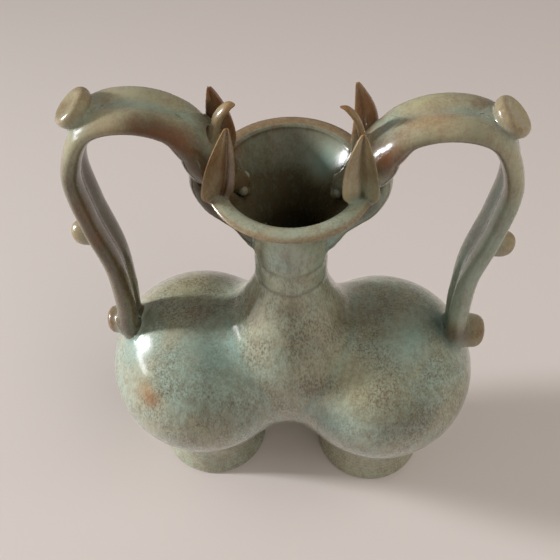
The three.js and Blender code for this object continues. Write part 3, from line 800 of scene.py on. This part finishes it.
class VASE_OT_heads(bpy.types.Operator):
    """Model the skulls and snouts that bite the rim"""

    bl_idname = "vase.heads"
    bl_label = "Dragon heads"

    def execute(self, context):
        back, tip = head_ends()
        along = (tip - back).normalized()
        above = Vector((along.z, 0, -along.x))
        aside = Vector((0, 1, 0))
        clay = [*SKULL_CLAY, *RIDGE_CLAY]
        clay += [(s, h, side * y, *radii) for s, h, y, *radii in PAIRED_CLAY for side in (1, -1)]
        bm = bmesh.new()
        for s, h, y, *radii in clay:
            place = back + (along * s + above * h + aside * y) * MM
            facing = Matrix((along, above, aside)).transposed().to_4x4()
            grown = Matrix.Diagonal((*(r * MM for r in radii), 1))
            bmesh.ops.create_uvsphere(
                bm, u_segments=BALL_SIDES, v_segments=BALL_SIDES // 2, radius=1,
                matrix=Matrix.Translation(place) @ facing @ grown,
            )
        add_pair("dragon_head", modelled(bm))
        return {"FINISHED"}


def modelled(bm):
    """Lumps of clay pressed into one piece and smoothed with a wet finger."""
    made = carried(bm, [("REMESH", {"mode": "VOXEL", "voxel_size": CLAY_VOXEL})])
    for _ in range(CLAY_SMOOTHING):
        bmesh.ops.smooth_vert(
            made, verts=made.verts, factor=0.5, use_axis_x=True, use_axis_y=True, use_axis_z=True,
        )
    return made


def oval_sections(places, widths, thicknesses, sides):
    """Oval sections along a route in the plane of the handles."""
    heading = np.gradient(places, axis=0)
    heading /= np.linalg.norm(heading, axis=1, keepdims=True)
    out = sideways(heading)
    angle = np.linspace(0, TURN, sides, endpoint=False)
    sections = places[:, None, :] + out[:, None, :] * (thicknesses[:, None] * np.sin(angle))[:, :, None]
    sections[:, :, 1] += widths[:, None] * np.cos(angle)
    return sections


def rounded(rows, stations):
    """Rows of shares drawn out to smooth stations whose two ends close in a round tip."""
    smooth, _ = spline(rows, stations)
    run = np.linspace(0, 1, stations)
    ends = np.sqrt(np.clip(np.minimum(run, 1 - run) / END_SHARE, 0, 1))
    smooth[:, -2:] *= ends[:, None]
    return smooth


class VASE_OT_jaws(bpy.types.Operator):
    """Model the lower jaws and beards on the outside of the mouth"""

    bl_idname = "vase.jaws"
    bl_label = "Jaws"

    def execute(self, context):
        v, d = sizes("vessel"), sizes("dragon")
        top = rim_height() + d.jaw_top
        rows = rounded(JAW_SHARES, LEAF_STATIONS)
        places = np.stack([
            v.rim_radius + d.jaw_proud + (v.neck_radius - v.rim_radius - d.jaw_proud) * rows[:, 0],
            rows[:, 0] * 0,
            top - d.jaw_length * rows[:, 1],
        ], axis=1)
        sections = oval_sections(
            places, rows[:, 2] * d.jaw_width / 2, rows[:, 3] * d.jaw_thickness / 2, LEAF_SIDES,
        )
        add_pair("dragon_jaw", wrapped(sections))
        return {"FINISHED"}


class VASE_OT_ears(bpy.types.Operator):
    """Model the cupped ears, each with a thick rim and a crease up its middle"""

    bl_idname = "vase.ears"
    bl_label = "Ears"

    def execute(self, context):
        for node, values in EARS.items():
            add_piece(node, self.leaf(node, *values))
        return {"FINISHED"}

    def leaf(self, node, lean, splay, taller, bow, wide, crease_place):
        v, d = sizes("vessel"), sizes("dragon")
        front = -1 if "front" in node else 1
        rows = rounded(EAR_SHARES, LEAF_STATIONS)
        angle = np.linspace(0, TURN, LEAF_SIDES, endpoint=False)
        side = np.cos(angle)
        rim = 0.5 + 0.7 * np.abs(side) ** 4
        face = np.sign(np.sin(angle)) * np.abs(np.sin(angle)) ** 0.6
        off = side - crease_place
        crease = np.exp(-((off / 0.14) ** 2)) * (face < 0)
        sections = np.zeros((len(rows), LEAF_SIDES, 3))
        up = rows[:, 0][:, None]
        width = rows[:, 1][:, None] * wide
        thick = rows[:, 2][:, None]
        middle = v.rim_radius - d.ear_inset + (bow * np.sin(math.pi * up) - lean * up) * MM
        sections[:, :, 0] = middle + d.ear_width / 2 * width * side
        depth = d.ear_thickness / 2 * thick * face * rim - d.ear_cup * width * off**2
        depth += d.ear_crease * crease * width
        sections[:, :, 1] = front * (d.ear_side + splay * MM * up - depth)
        sections[:, :, 2] = rim_height() - d.ear_sink + (d.ear_length + taller * MM) * up
        bm = wrapped(sections)
        return mirrored(bm) if node.startswith("left") else bm


class VASE_OT_crests(bpy.types.Operator):
    """Model the curled crests that rise from the brows"""

    bl_idname = "vase.crests"
    bl_label = "Crests"

    def execute(self, context):
        d = sizes("dragon")
        root = head_place(BROW_SHARES)
        rows = rounded(CREST_SHARES, LEAF_STATIONS)
        for side, (slim, nearer) in CRESTS.items():
            places = np.stack([
                root.x - nearer * MM - d.crest_curl * rows[:, 0], rows[:, 0] * 0,
                root.z + d.crest_rise * rows[:, 1],
            ], axis=1)
            widths = rows[:, 2] * slim * d.crest_width / 2
            thicknesses = rows[:, 3] * slim * d.crest_thickness / 2
            bm = wrapped(oval_sections(places, widths, thicknesses, LEAF_SIDES))
            add_piece(side + "_crest", bm if side == "right" else mirrored(bm))
        return {"FINISHED"}


class VASE_OT_eyes(bpy.types.Operator):
    """Roll the balls of the eyes"""

    bl_idname = "vase.eyes"
    bl_label = "Eyes"

    def execute(self, context):
        d = sizes("dragon")
        place = head_place(SNOUT_SHARES)
        for side, part in ((-1, "front_eye"), (1, "back_eye")):
            bm = bmesh.new()
            bmesh.ops.create_uvsphere(
                bm, u_segments=BALL_SIDES, v_segments=BALL_SIDES // 2, radius=d.eye_radius,
                matrix=Matrix.Translation((place.x, side * d.eye_side, place.z + d.eye_rise)),
            )
            add_pair(part, bm)
        return {"FINISHED"}


# The glaze in the joints

# How strongly the glaze pools against a piece
POOLING = {"yoke": 0.25, "body": 0.45, "foot": 0.2, "crest": 0.3, "eye": 0.3}
FULL_POOLING = 0.8
# How far from a joint the glaze pools, and how far the glazes of two pieces run into each other
POOL_REACH = 6 * MM
BLEND_REACH = 14 * MM
# The pieces lie on the same skin this far into each other. Past that a piece dives under its
# neighbour, within a share of the fillet's reach and at most this far.
LAP = 1.2 * MM
DIVE_SHARE = 0.6
DIVE_REACH = 5 * MM
# A nearest spot that is further off than this may lie on an edge, where it can't tell the inside
# of a form from its outside, so the point counts as outside
DEEPEST = 9 * MM
# The longest step towards the skin, the number of steps, and how near is near enough
LONGEST_STEP = 1.5 * MM
SKIN_STEPS = 9
SKIN_NEARNESS = 0.05 * MM


def joints():
    """Every joint between two nodes, with the reach of its fillet."""
    for first, second, reach in JOINTS:
        rows = ("front", "back") if "*" in first + second else ("",)
        sides = ("",) if first in forms and second in forms else ("right_", "left_")
        for row in rows:
            names = [name.replace("*", row) for name in (first, second)]
            for side in sides:
                yield *(name if name in forms else side + name for name in names), reach * MM


def neighbours_of(node):
    """The pieces that share a joint with a node, with the reach of each fillet."""
    return [(b if node == a else a, reach) for a, b, reach in joints() if node in (a, b)]


def kind_of(node, table, otherwise=None):
    """A piece's own entry in a table, or else the entry of its kind."""
    kinds = [key for key in table if node.endswith("_" + key)]
    return table.get(node, table[kinds[0]] if kinds else otherwise)


def character_of(node):
    """How olive, specked, iron-washed and thin the glaze of a piece is."""
    return np.array(kind_of(node, CHARACTER), dtype=float)


def measured(tree, points):
    """Each point's distance from a form, negative inside it, and the way straight out of it."""
    apart = np.empty(len(points))
    away = np.empty((len(points), 3))
    for i, point in enumerate(points):
        spot = Vector(point)
        place, normal, _, distance = tree.find_nearest(spot)
        offset = spot - place
        side = -1 if offset.dot(normal) < 0 and distance < DEEPEST else 1
        apart[i] = side * distance
        away[i] = offset * (side / distance) if distance > 0.02 * MM else normal
    return apart, away


def skin(node, neighbours, points):
    """Height of points above one smooth skin round a piece and its neighbours, and its slope."""
    height, slope = measured(forms[node][0], points)
    for other, reach in neighbours:
        tree, low, high, _ = forms[other]
        near = np.flatnonzero(np.all((points > low - reach) & (points < high + reach), axis=1))
        if not len(near):
            continue
        apart, away = measured(tree, points[near])
        own, lean = height[near], slope[near]
        blend = (1 - np.abs(own - apart) / reach).clip(0, 1)
        part = np.where(own < apart, 1 - blend / 2, blend / 2)[:, None]
        height[near] = np.minimum(own, apart) - blend**2 * reach / 4
        slope[near] = part * lean + (1 - part) * away
    return height, slope


def vertex_arrays(mesh):
    """A mesh's vertices and their normals, and the two ends of its edges."""
    count = len(mesh.vertices)
    places = np.empty(count * 3)
    mesh.vertices.foreach_get("co", places)
    normals = np.empty(count * 3)
    mesh.vertex_normals.foreach_get("vector", normals)
    ends = np.empty(len(mesh.edges) * 2, dtype=int)
    mesh.edges.foreach_get("vertices", ends)
    return places.reshape(-1, 3), normals.reshape(-1, 3), ends.reshape(-1, 2)


def averaged(values, ends):
    """Each vertex's value averaged over its neighbours."""
    count = len(values)
    degree = np.bincount(ends.ravel(), minlength=count).clip(1)
    columns = values.reshape(count, -1)
    sums = np.stack([
        np.bincount(ends[:, 0], c[ends[:, 1]], count) + np.bincount(ends[:, 1], c[ends[:, 0]], count)
        for c in columns.T
    ], axis=1)
    return (sums / degree[:, None]).reshape(values.shape)


def smoothstep(values, low, high):
    t = np.clip((values - low) / (high - low), 0, 1)
    return t * t * (3 - 2 * t)


def paint(mesh, name, values):
    """Keeps a value at each vertex, for the glaze to read."""
    mesh.attributes.new(name, "FLOAT", "POINT").data.foreach_set("value", values.astype(np.float32))


def settled(node, neighbours, points):
    """Points brought in short steps onto the skin round a piece and its neighbours."""
    moved = points.copy()
    left = np.arange(len(points))
    for _ in range(SKIN_STEPS):
        height, slope = skin(node, neighbours, moved[left])
        step = slope * (height / np.sum(slope**2, axis=1).clip(0.25))[:, None]
        length = np.linalg.norm(step, axis=1, keepdims=True).clip(1e-9)
        moved[left] -= step * (LONGEST_STEP / length).clip(None, 1)
        left = left[np.abs(height) > SKIN_NEARNESS]
        if not len(left):
            break
    return moved


def surface_bend(places, normals, ends):
    """How sharply the surface bends at each vertex, more than zero on an edge."""
    count = len(places)
    stretch = np.linalg.norm(places[ends[:, 0]] - places[ends[:, 1]], axis=1)
    degree = np.bincount(ends.ravel(), minlength=count).clip(1)
    spacing = (np.bincount(ends[:, 0], stretch, count) + np.bincount(ends[:, 1], stretch, count)) / degree
    bend = -2 * np.sum((averaged(places, ends) - places) * normals, axis=1) / spacing.clip(0.1 * MM) ** 2
    for _ in range(4):
        bend = averaged(bend, ends)
    return bend


def flow(node):
    """Fills a piece's joints with glaze, and works out where the glaze pools, thins and changes, and where
    shade is painted.
    """
    mesh = bpy.data.objects[node + "_glazed"].data
    places, normals, ends = vertex_arrays(mesh)
    count = len(places)
    own = character_of(node)
    character = np.tile(own, (count, 1))
    nearest = np.full(count, BLEND_REACH)
    kept = np.ones(count)
    touched = np.zeros(count, dtype=bool)
    pool = np.zeros(count)
    outer = np.ones(count, dtype=bool)
    if forms[node][3]:
        for i, point in enumerate(places):
            outer[i] = forms[node][0].find_nearest(Vector(point))[3] < 0.3 * MM
    neighbours = neighbours_of(node)
    for other, reach in neighbours:
        tree, low, high, _ = forms[other]
        band = max(BLEND_REACH, reach)
        near = np.flatnonzero(outer & np.all((places > low - band) & (places < high + band), axis=1))
        if not len(near):
            continue
        apart, _ = measured(tree, places[near])
        dive = min(DIVE_SHARE * reach, DIVE_REACH) - LAP
        kept[near] *= (1 - ((-apart - LAP) / dive).clip(0, 1) ** 2) ** 2
        touched[near] |= apart < reach
        nearest[near] = np.minimum(nearest[near], apart)
        spread = (1 - apart / POOL_REACH).clip(0, 1) * (apart >= -MM)
        pool[near] = np.maximum(pool[near], spread * kind_of(other, POOLING, FULL_POOLING))
        nearness = (1 - apart.clip(0) / BLEND_REACH).clip(0, 1) ** 2 / 2
        character[near] += (character_of(other) - own)[None, :] * nearness[:, None]
    active = np.flatnonzero(touched & (kept > 0))
    moved = settled(node, neighbours, places[active])
    places[active] += (moved - places[active]) * kept[active][:, None]
    mesh.vertices.foreach_set("co", places.ravel())
    mesh.update()
    places, normals, _ = vertex_arrays(mesh)
    bend = surface_bend(places, normals, ends)
    thin = smoothstep(bend * MM, 0.1, 0.4) * (0 if "eye" in node else 1)
    thin *= smoothstep(nearest, 0.5 * MM, 3 * MM)
    olive, speck, iron, bare = character.T
    # The inner walls of a hollowed piece start with painted shade
    marks = {
        "pool": pool, "thin": thin + bare, "olive": olive, "speck": speck, "iron": iron,
        "umber": np.where(outer, 0.0, 1.0),
    }
    local_glaze_and_shade(node, places, normals, bend, marks)
    for mark, values in marks.items():
        paint(mesh, mark, values.clip(0, 1))


def add_marks(marks, **more):
    """Adds to the marks that are named."""
    for mark, amount in more.items():
        marks[mark] = marks[mark] + amount


def spot(places, x, y, z, radius):
    """A soft round spot, 1 at its middle. Its place and radius are in millimetres."""
    away = np.linalg.norm(places - np.array([x, y, z]) * MM, axis=1)
    return np.exp(-((away / (radius * MM)) ** 2))


def local_glaze_and_shade(node, places, normals, bend, marks):
    """What the brush, the hand and the fire have left on some pieces and in some places, and the shade
    painted in the ears' creases, on the handles' inner sides, in the cup and in listed places.
    """
    if "strand" in node or "dragon" in node:
        run_off_and_shade(node, places, normals, marks)
    if node.endswith("ear"):
        # Painted shade in the ears' hollows and crease
        add_marks(marks, umber=0.7 * smoothstep(-bend * MM, 0.03, 0.2))
    if node == "mouth":
        brushed_lip_and_shaded_cup(places, normals, marks)
    if node in ("neck", "yoke"):
        turned_rings_and_shaded_bore(places, normals, marks)
    for patches in PATCHES.values():
        for mark, x, y, z, radius, strength in patches:
            add_marks(marks, **{mark: strength * spot(places, x, y, z, radius)})


def run_off_and_shade(node, places, normals, marks):
    """On the handles the glaze runs off the inner side of the loop and leaves the iron bare; that side and
    the left leg also get painted shade.
    """
    side = node.split("_")[0]
    outwards, up = LOOP_MIDDLE
    change, leg_shade_lifted, umber, pool = LEG_GLAZE_AND_SHADE[side]
    away = (places - np.array([SIDES[side] * outwards, 0, up])) * (1, 0, 1)
    away /= np.linalg.norm(away, axis=1, keepdims=True)
    inner = -np.sum(away * normals, axis=1)
    leg = smoothstep(-places[:, 2], -change, 35 * MM - change)
    # Painted shade: dark olive brown on the side that faces the loop's middle, lifted where the right leg
    # is lit, and over the left leg with its browner glaze
    add_marks(
        marks,
        iron=0.25 * smoothstep(inner, -0.1, 0.9) * (1 - leg),
        umber=0.7 * smoothstep(inner, 0.1, 0.9) * (1 - leg_shade_lifted * leg) + umber * leg,
        pool=pool * leg,
    )


def facing_in(places, normals):
    """Where the surface faces the inside of the mouth or the neck."""
    radial = places[:, :2] / np.linalg.norm(places[:, :2], axis=1, keepdims=True)
    return np.sum(radial * normals[:, :2], axis=1) < 0.7 * normals[:, 2] - 0.01


def turned_rings_and_shaded_bore(places, normals, marks):
    """The glaze lies a little darker in the turned rings, and the bore is painted dark as shade."""
    v = sizes("vessel")
    top = neck_foot()
    for ring, strength in ((top + GROOVE_SHARE * v.neck_length, 0.3), (top - v.groove_width, 0.5)):
        add_marks(marks, umber=strength * np.exp(-(((places[:, 2] - ring) / (1.3 * MM)) ** 2)))
    high = places[:, 2] > top - v.groove_width
    marks["thin"] = marks["thin"] * 0
    # Painted shade inside the bore
    marks["umber"] = np.where(high & facing_in(places, normals), 1, marks["umber"])


def brushed_lip_and_shaded_cup(places, normals, marks):
    """The lip is tan at the back with a dark inner edge, and the cup inside is dark olive brown, partly its
    glaze and partly painted shade that deepens downwards.
    """
    v = sizes("vessel")
    radius = np.hypot(places[:, 0], places[:, 1])
    low = rim_height() - places[:, 2]
    inner = v.rim_radius - v.lip_width
    back = smoothstep(places[:, 1] / radius, -0.25, 0.45)
    lip = back * smoothstep(radius, inner + 1.5 * MM, inner + 3 * MM)
    lip *= smoothstep(-low, -7 * MM, -5 * MM)
    add_marks(marks, thin=0.75 * lip, umber=0.3 * lip, iron=0.2 * lip)
    edge = smoothstep(radius, 0.94 * v.rim_radius, 0.98 * v.rim_radius)
    edge *= smoothstep(-low, -5.5 * MM, -3.5 * MM)
    add_marks(marks, thin=0.5 * edge, umber=0.25 * edge, iron=0.15 * edge)
    line = np.exp(-(((radius - inner - MM) / (1.1 * MM)) ** 2)) * (low < 4 * MM)
    # Painted shade in the cup, darker further down, over its dark glaze
    cup = facing_in(places, normals) & (radius < inner + 0.5 * MM)
    depth = smoothstep(low, 6 * MM, 28 * MM)
    add_marks(marks, umber=0.75 * line * (0.3 + 0.7 * back) + cup * (0.76 + 0.24 * depth))
    marks["speck"] = marks["speck"] * (1 - 0.8 * cup)
    marks["thin"] = marks["thin"] * smoothstep(-low, -0.8 * v.mouth_rise, -0.6 * v.mouth_rise)
    for x, y, z, reach in CUP_POOLS:
        clear = spot(places, x, y, z, reach)
        marks["umber"] = marks["umber"] * (1 - 0.9 * clear)
        add_marks(marks, pool=0.6 * clear)


class VASE_OT_luting(bpy.types.Operator):
    """Run the glaze into every joint between the pieces"""

    bl_idname = "vase.luting"
    bl_label = "Luted joints"

    def execute(self, context):
        for node in forms:
            flow(node)
        return {"FINISHED"}


# The glaze's colour and gloss

def add(tree, kind, settings=None, inputs=None):
    """Adds a node with its settings, and its inputs as values or as links from other nodes."""
    made = tree.nodes.new(kind)
    for key, value in (settings or {}).items():
        setattr(made, key, value)
    for key, value in (inputs or {}).items():
        if isinstance(value, bpy.types.NodeSocket):
            tree.links.new(value, made.inputs[key])
        else:
            made.inputs[key].default_value = value
    return made


# Real sizes of the glaze's patterns
SPECK_SIZE = 1.2 * MM
BLOTCH_SIZE = 4 * MM
CLOUD_SIZE = 34 * MM
PEEL_SIZE = 2.5 * MM
# An edge that bends more than this stays sharp
SHARP_EDGE = math.radians(50)


def glaze(name, roughness):
    """A stoneware glaze fired over iron: a thick glass that pools teal and breaks tan on edges."""
    colours = sizes("glaze")
    material = bpy.data.materials.new(name)
    material.use_nodes = True
    tree = material.node_tree
    shader = tree.nodes["Principled BSDF"]
    place = add(tree, "ShaderNodeTexCoord").outputs["Object"]
    # The melting glaze draws its specks a little down the wall
    drawn = add(tree, "ShaderNodeMapping", None, {"Vector": place, "Scale": (1, 1, 0.38)}).outputs[0]
    marks = {
        key: add(tree, "ShaderNodeAttribute", {"attribute_name": key}).outputs["Fac"]
        for key in ("pool", "thin", "olive", "speck", "iron", "umber")
    }

    def noise(size, detail, roughness, vector):
        return add(tree, "ShaderNodeTexNoise", None, {
            "Vector": vector, "Scale": 1 / size, "Detail": detail, "Roughness": roughness,
        }).outputs["Fac"]

    def ranged(value, low, high, start, end):
        return add(tree, "ShaderNodeMapRange", None, {
            "Value": value, "From Min": low, "From Max": high, "To Min": start, "To Max": end,
        }).outputs["Result"]

    def sum_of(operation, first, second):
        return add(tree, "ShaderNodeMath", {"operation": operation}, {0: first, 1: second}).outputs[0]

    def over(factor, below, key):
        return add(tree, "ShaderNodeMix", {"data_type": "RGBA"}, {
            0: factor, 6: below, 7: (*getattr(colours, key), 1),
        }).outputs[2]

    cloud = noise(CLOUD_SIZE, 4, 0.6, place)
    drift = noise(0.6 * CLOUD_SIZE, 3, 0.55, add(tree, "ShaderNodeVectorMath", {"operation": "ADD"}, {
        0: place, 1: (CLOUD_SIZE, 2 * CLOUD_SIZE, CLOUD_SIZE / 2),
    }).outputs[0])
    blotch = noise(BLOTCH_SIZE, 3, 0.6, drawn)
    speck = noise(SPECK_SIZE, 3, 0.65, drawn)
    colour = over(marks["olive"], (*colours.celadon, 1), "olive")
    colour = over(ranged(cloud, 0.4, 0.6, 0, 0.75), colour, "warm")
    blotchy = sum_of("MULTIPLY", ranged(blotch, 0.42, 0.66, 0, 0.5), marks["speck"])
    colour = over(blotchy, colour, "blotch")
    dense = sum_of("MULTIPLY", ranged(drift, 0.35, 0.65, 0.35, 1.1), marks["speck"])
    specked = sum_of("MULTIPLY", ranged(speck, 0.42, 0.66, 0, 0.7), dense)
    colour = over(specked, colour, "speck")
    colour = over(sum_of("MULTIPLY", marks["pool"], 0.6), colour, "pool")
    colour = over(sum_of("MULTIPLY", marks["thin"], 0.75), colour, "thin")
    grain = sum_of("SUBTRACT", sum_of("ADD", blotch, speck), 1)
    # The dark olive brown, dark glaze and painted shade together, is broken up by the grain and laid over
    # the colour
    shade = sum_of("MULTIPLY", sum_of("MULTIPLY", grain, 0.4), marks["umber"])
    hollow = sum_of("ADD", marks["umber"], shade)
    colour = over(ranged(hollow, 0, 1, 0, 0.92), colour, "umber")
    washes = sum_of("MULTIPLY", ranged(drift, 0.4, 0.65, 0, 0.3), marks["olive"])
    ragged = sum_of("ADD", sum_of("ADD", marks["iron"], washes), sum_of("MULTIPLY", grain, 0.6))
    colour = over(ranged(ragged, 0.1, 0.95, 0, 0.85), colour, "iron")
    tree.links.new(colour, shader.inputs["Base Color"])
    tree.links.new(ranged(blotch, 0.3, 0.7, roughness, roughness + 0.12), shader.inputs["Roughness"])
    bump = add(tree, "ShaderNodeBump", None, {
        "Strength": 0.15, "Distance": 0.15 * MM, "Height": noise(PEEL_SIZE, 2, 0.5, place),
    }).outputs["Normal"]
    tree.links.new(bump, shader.inputs["Normal"])
    shader.inputs["IOR"].default_value = 1.5
    shader.inputs["Coat Weight"].default_value = 0.4
    shader.inputs["Coat Roughness"].default_value = 0.06
    return material


class VASE_OT_glazes(bpy.types.Operator):
    """Dip every piece in its glaze"""

    bl_idname = "vase.glazes"
    bl_label = "Glazes"

    def execute(self, context):
        # Celadon stoneware glaze, dipped and fired glossy: a clear depth with a wet highlight
        celadon = glaze("celadon_stoneware_glaze", 0.16)
        # Olive celadon over brushed iron: a little more satin where it runs off the rolled clay
        olive = glaze("olive_celadon_glaze", 0.18)
        # Iron-brown glaze on thin modelled edges: glossy, with tan breaks along the rims
        iron = glaze("iron_saturated_glaze", 0.2)
        slots = {s["node"]: s["material_slot"] for s in frame["record"]["subparts"]}
        finish = {"celadon_glaze": celadon, "olive_glaze": olive, "iron_glaze": iron}
        for node in forms:
            piece = bpy.data.objects[node + "_glazed"]
            piece.data.materials.clear()
            piece.data.materials.append(finish[slots[node]])
            bm = bmesh.new()
            bm.from_mesh(piece.data)
            for face in bm.faces:
                face.smooth = True
            for edge in bm.edges:
                if len(edge.link_faces) == 2:
                    edge.smooth = edge.calc_face_angle() < SHARP_EDGE
            bm.to_mesh(piece.data)
        return {"FINISHED"}


# The studio

def tilt(name, description, degrees):
    return FloatProperty(
        name=name, description=description, default=math.radians(degrees), subtype="ANGLE",
    )


def power(name, description, watts):
    return FloatProperty(name=name, description=description, default=watts, subtype="POWER")


class StageSettings(bpy.types.PropertyGroup):
    camera_place: FloatVectorProperty(
        name="Camera place", description="Where the camera stands", size=3,
        default=(0.012228, -0.294945, 0.614334), subtype="TRANSLATION", unit="LENGTH",
    )
    pitch: tilt("Pitch", "Downward tilt of the camera", 53.651)
    roll: tilt("Roll", "Roll of the camera", -1.326)
    yaw: tilt("Yaw", "Turn of the camera to the side", -3.733)
    lens: FloatProperty(name="Lens", description="Focal length in millimetres", default=51.107)
    window: power("Window", "Power of the window on the left", 10.4)
    door: power("Glass door", "Power of the low strip on the left", 0.34)
    sky: power("Overhead", "Power of the soft light above", 13)
    fill: share("Fill", "Strength of the room's own light", 0.32)


def area_light(name, place, target, width, height, watts, code, spread=180, shine=True):
    """A soft rectangular light, its places and sizes in metres and its spread in degrees."""
    light = bpy.data.lights.new(name, "AREA")
    light.shape = "RECTANGLE"
    light.size = width
    light.size_y = height
    light.energy = watts
    light.color = linear(code)
    light.spread = math.radians(spread)
    lamp = bpy.data.objects.new(name, light)
    lamp.location = place
    lamp.rotation_euler = (Vector(target) - Vector(place)).to_track_quat("-Z", "Y").to_euler()
    lamp.visible_glossy = shine
    bpy.context.scene.collection.objects.link(lamp)


class VASE_OT_stage(bpy.types.Operator):
    """Set the pale floor, the window light and the camera"""

    bl_idname = "vase.stage"
    bl_label = "Studio"

    def execute(self, context):
        scene = context.scene
        stage = sizes("stage")
        bm = bmesh.new()
        bmesh.ops.create_grid(bm, x_segments=1, y_segments=1, size=3)
        floor = linked("floor", bm)
        # Honed floor tile: pale, smooth and nearly matt
        tile = bpy.data.materials.new("pale_floor_tile")
        tile.use_nodes = True
        shader = tile.node_tree.nodes["Principled BSDF"]
        shader.inputs["Base Color"].default_value = (*sizes("glaze").floor, 1)
        shader.inputs["Roughness"].default_value = 0.9
        shader.inputs["Specular IOR Level"].default_value = 0.15
        floor.data.materials.append(tile)

        area_light("window", (-2.6, 0.13, 0.85), (0, 0, 0.2), 0.3, 0.42, stage.window, "#F8FAFF", 60)
        area_light("door", (-1.45, -0.3, 0.33), (0, 0, 0.16), 0.6, 0.18, stage.door, "#F8FAFF", 60)
        area_light("overhead", (0.9, -0.4, 1.6), (0, 0, 0.1), 1.6, 1.2, stage.sky, "#FFFCF8", 180, False)
        world = bpy.data.worlds.new("room")
        world.use_nodes = True
        room = world.node_tree.nodes["Background"]
        room.inputs["Color"].default_value = (*linear("#EAE5DD"), 1)
        room.inputs["Strength"].default_value = stage.fill
        scene.world = world
        scene.view_settings.view_transform = "Standard"

        camera = bpy.data.cameras.new("camera")
        camera.lens = stage.lens
        camera.sensor_width = 36
        eye = bpy.data.objects.new("camera", camera)
        level = Euler((math.pi / 2 - stage.pitch, 0, 0)).to_matrix()
        turn = Matrix.Rotation(-stage.yaw, 3, "Z") @ level @ Matrix.Rotation(stage.roll, 3, "Z")
        eye.matrix_world = Matrix.Translation(stage.camera_place) @ turn.to_4x4()
        scene.collection.objects.link(eye)
        scene.camera = eye
        return {"FINISHED"}


class VASE_PT_panel(bpy.types.Panel):
    """The vase's pieces and sizes"""

    bl_idname = "VASE_PT_panel"
    bl_label = "Double vase"
    bl_space_type = "VIEW_3D"
    bl_region_type = "UI"
    bl_category = "Vase"

    def draw(self, context):
        for step in STEPS:
            self.layout.operator(step.bl_idname)
        for name in GROUPS:
            box = self.layout.box()
            group = sizes(name)
            for key in group.bl_rna.properties.keys():
                if key not in ("rna_type", "name"):
                    box.prop(group, key)


STEPS = (
    VASE_OT_bodies, VASE_OT_yoke, VASE_OT_neck, VASE_OT_mouth, VASE_OT_feet, VASE_OT_strands,
    VASE_OT_bosses, VASE_OT_heads, VASE_OT_jaws, VASE_OT_ears, VASE_OT_crests, VASE_OT_eyes,
    VASE_OT_luting, VASE_OT_glazes, VASE_OT_stage,
)
GROUPS = {
    "vessel": VesselSizes, "handle": HandleSizes, "dragon": DragonSizes,
    "glaze": GlazeColours, "stage": StageSettings,
}


def register():
    for group in GROUPS.values():
        bpy.utils.register_class(group)
    for step in STEPS:
        bpy.utils.register_class(step)
    bpy.utils.register_class(VASE_PT_panel)
    for name, group in GROUPS.items():
        setattr(bpy.types.Scene, "vase_" + name, PointerProperty(type=group))


def unregister():
    for name in GROUPS:
        delattr(bpy.types.Scene, "vase_" + name)
    bpy.utils.unregister_class(VASE_PT_panel)
    for step in reversed(STEPS):
        bpy.utils.unregister_class(step)
    for group in reversed(GROUPS.values()):
        bpy.utils.unregister_class(group)


def main():
    register()
    for step in STEPS:
        family, _, name = step.bl_idname.partition(".")
        if getattr(getattr(bpy.ops, family), name)() != {"FINISHED"}:
            raise RuntimeError(step.bl_label + " was not made")


if __name__ == "__main__":
    main()
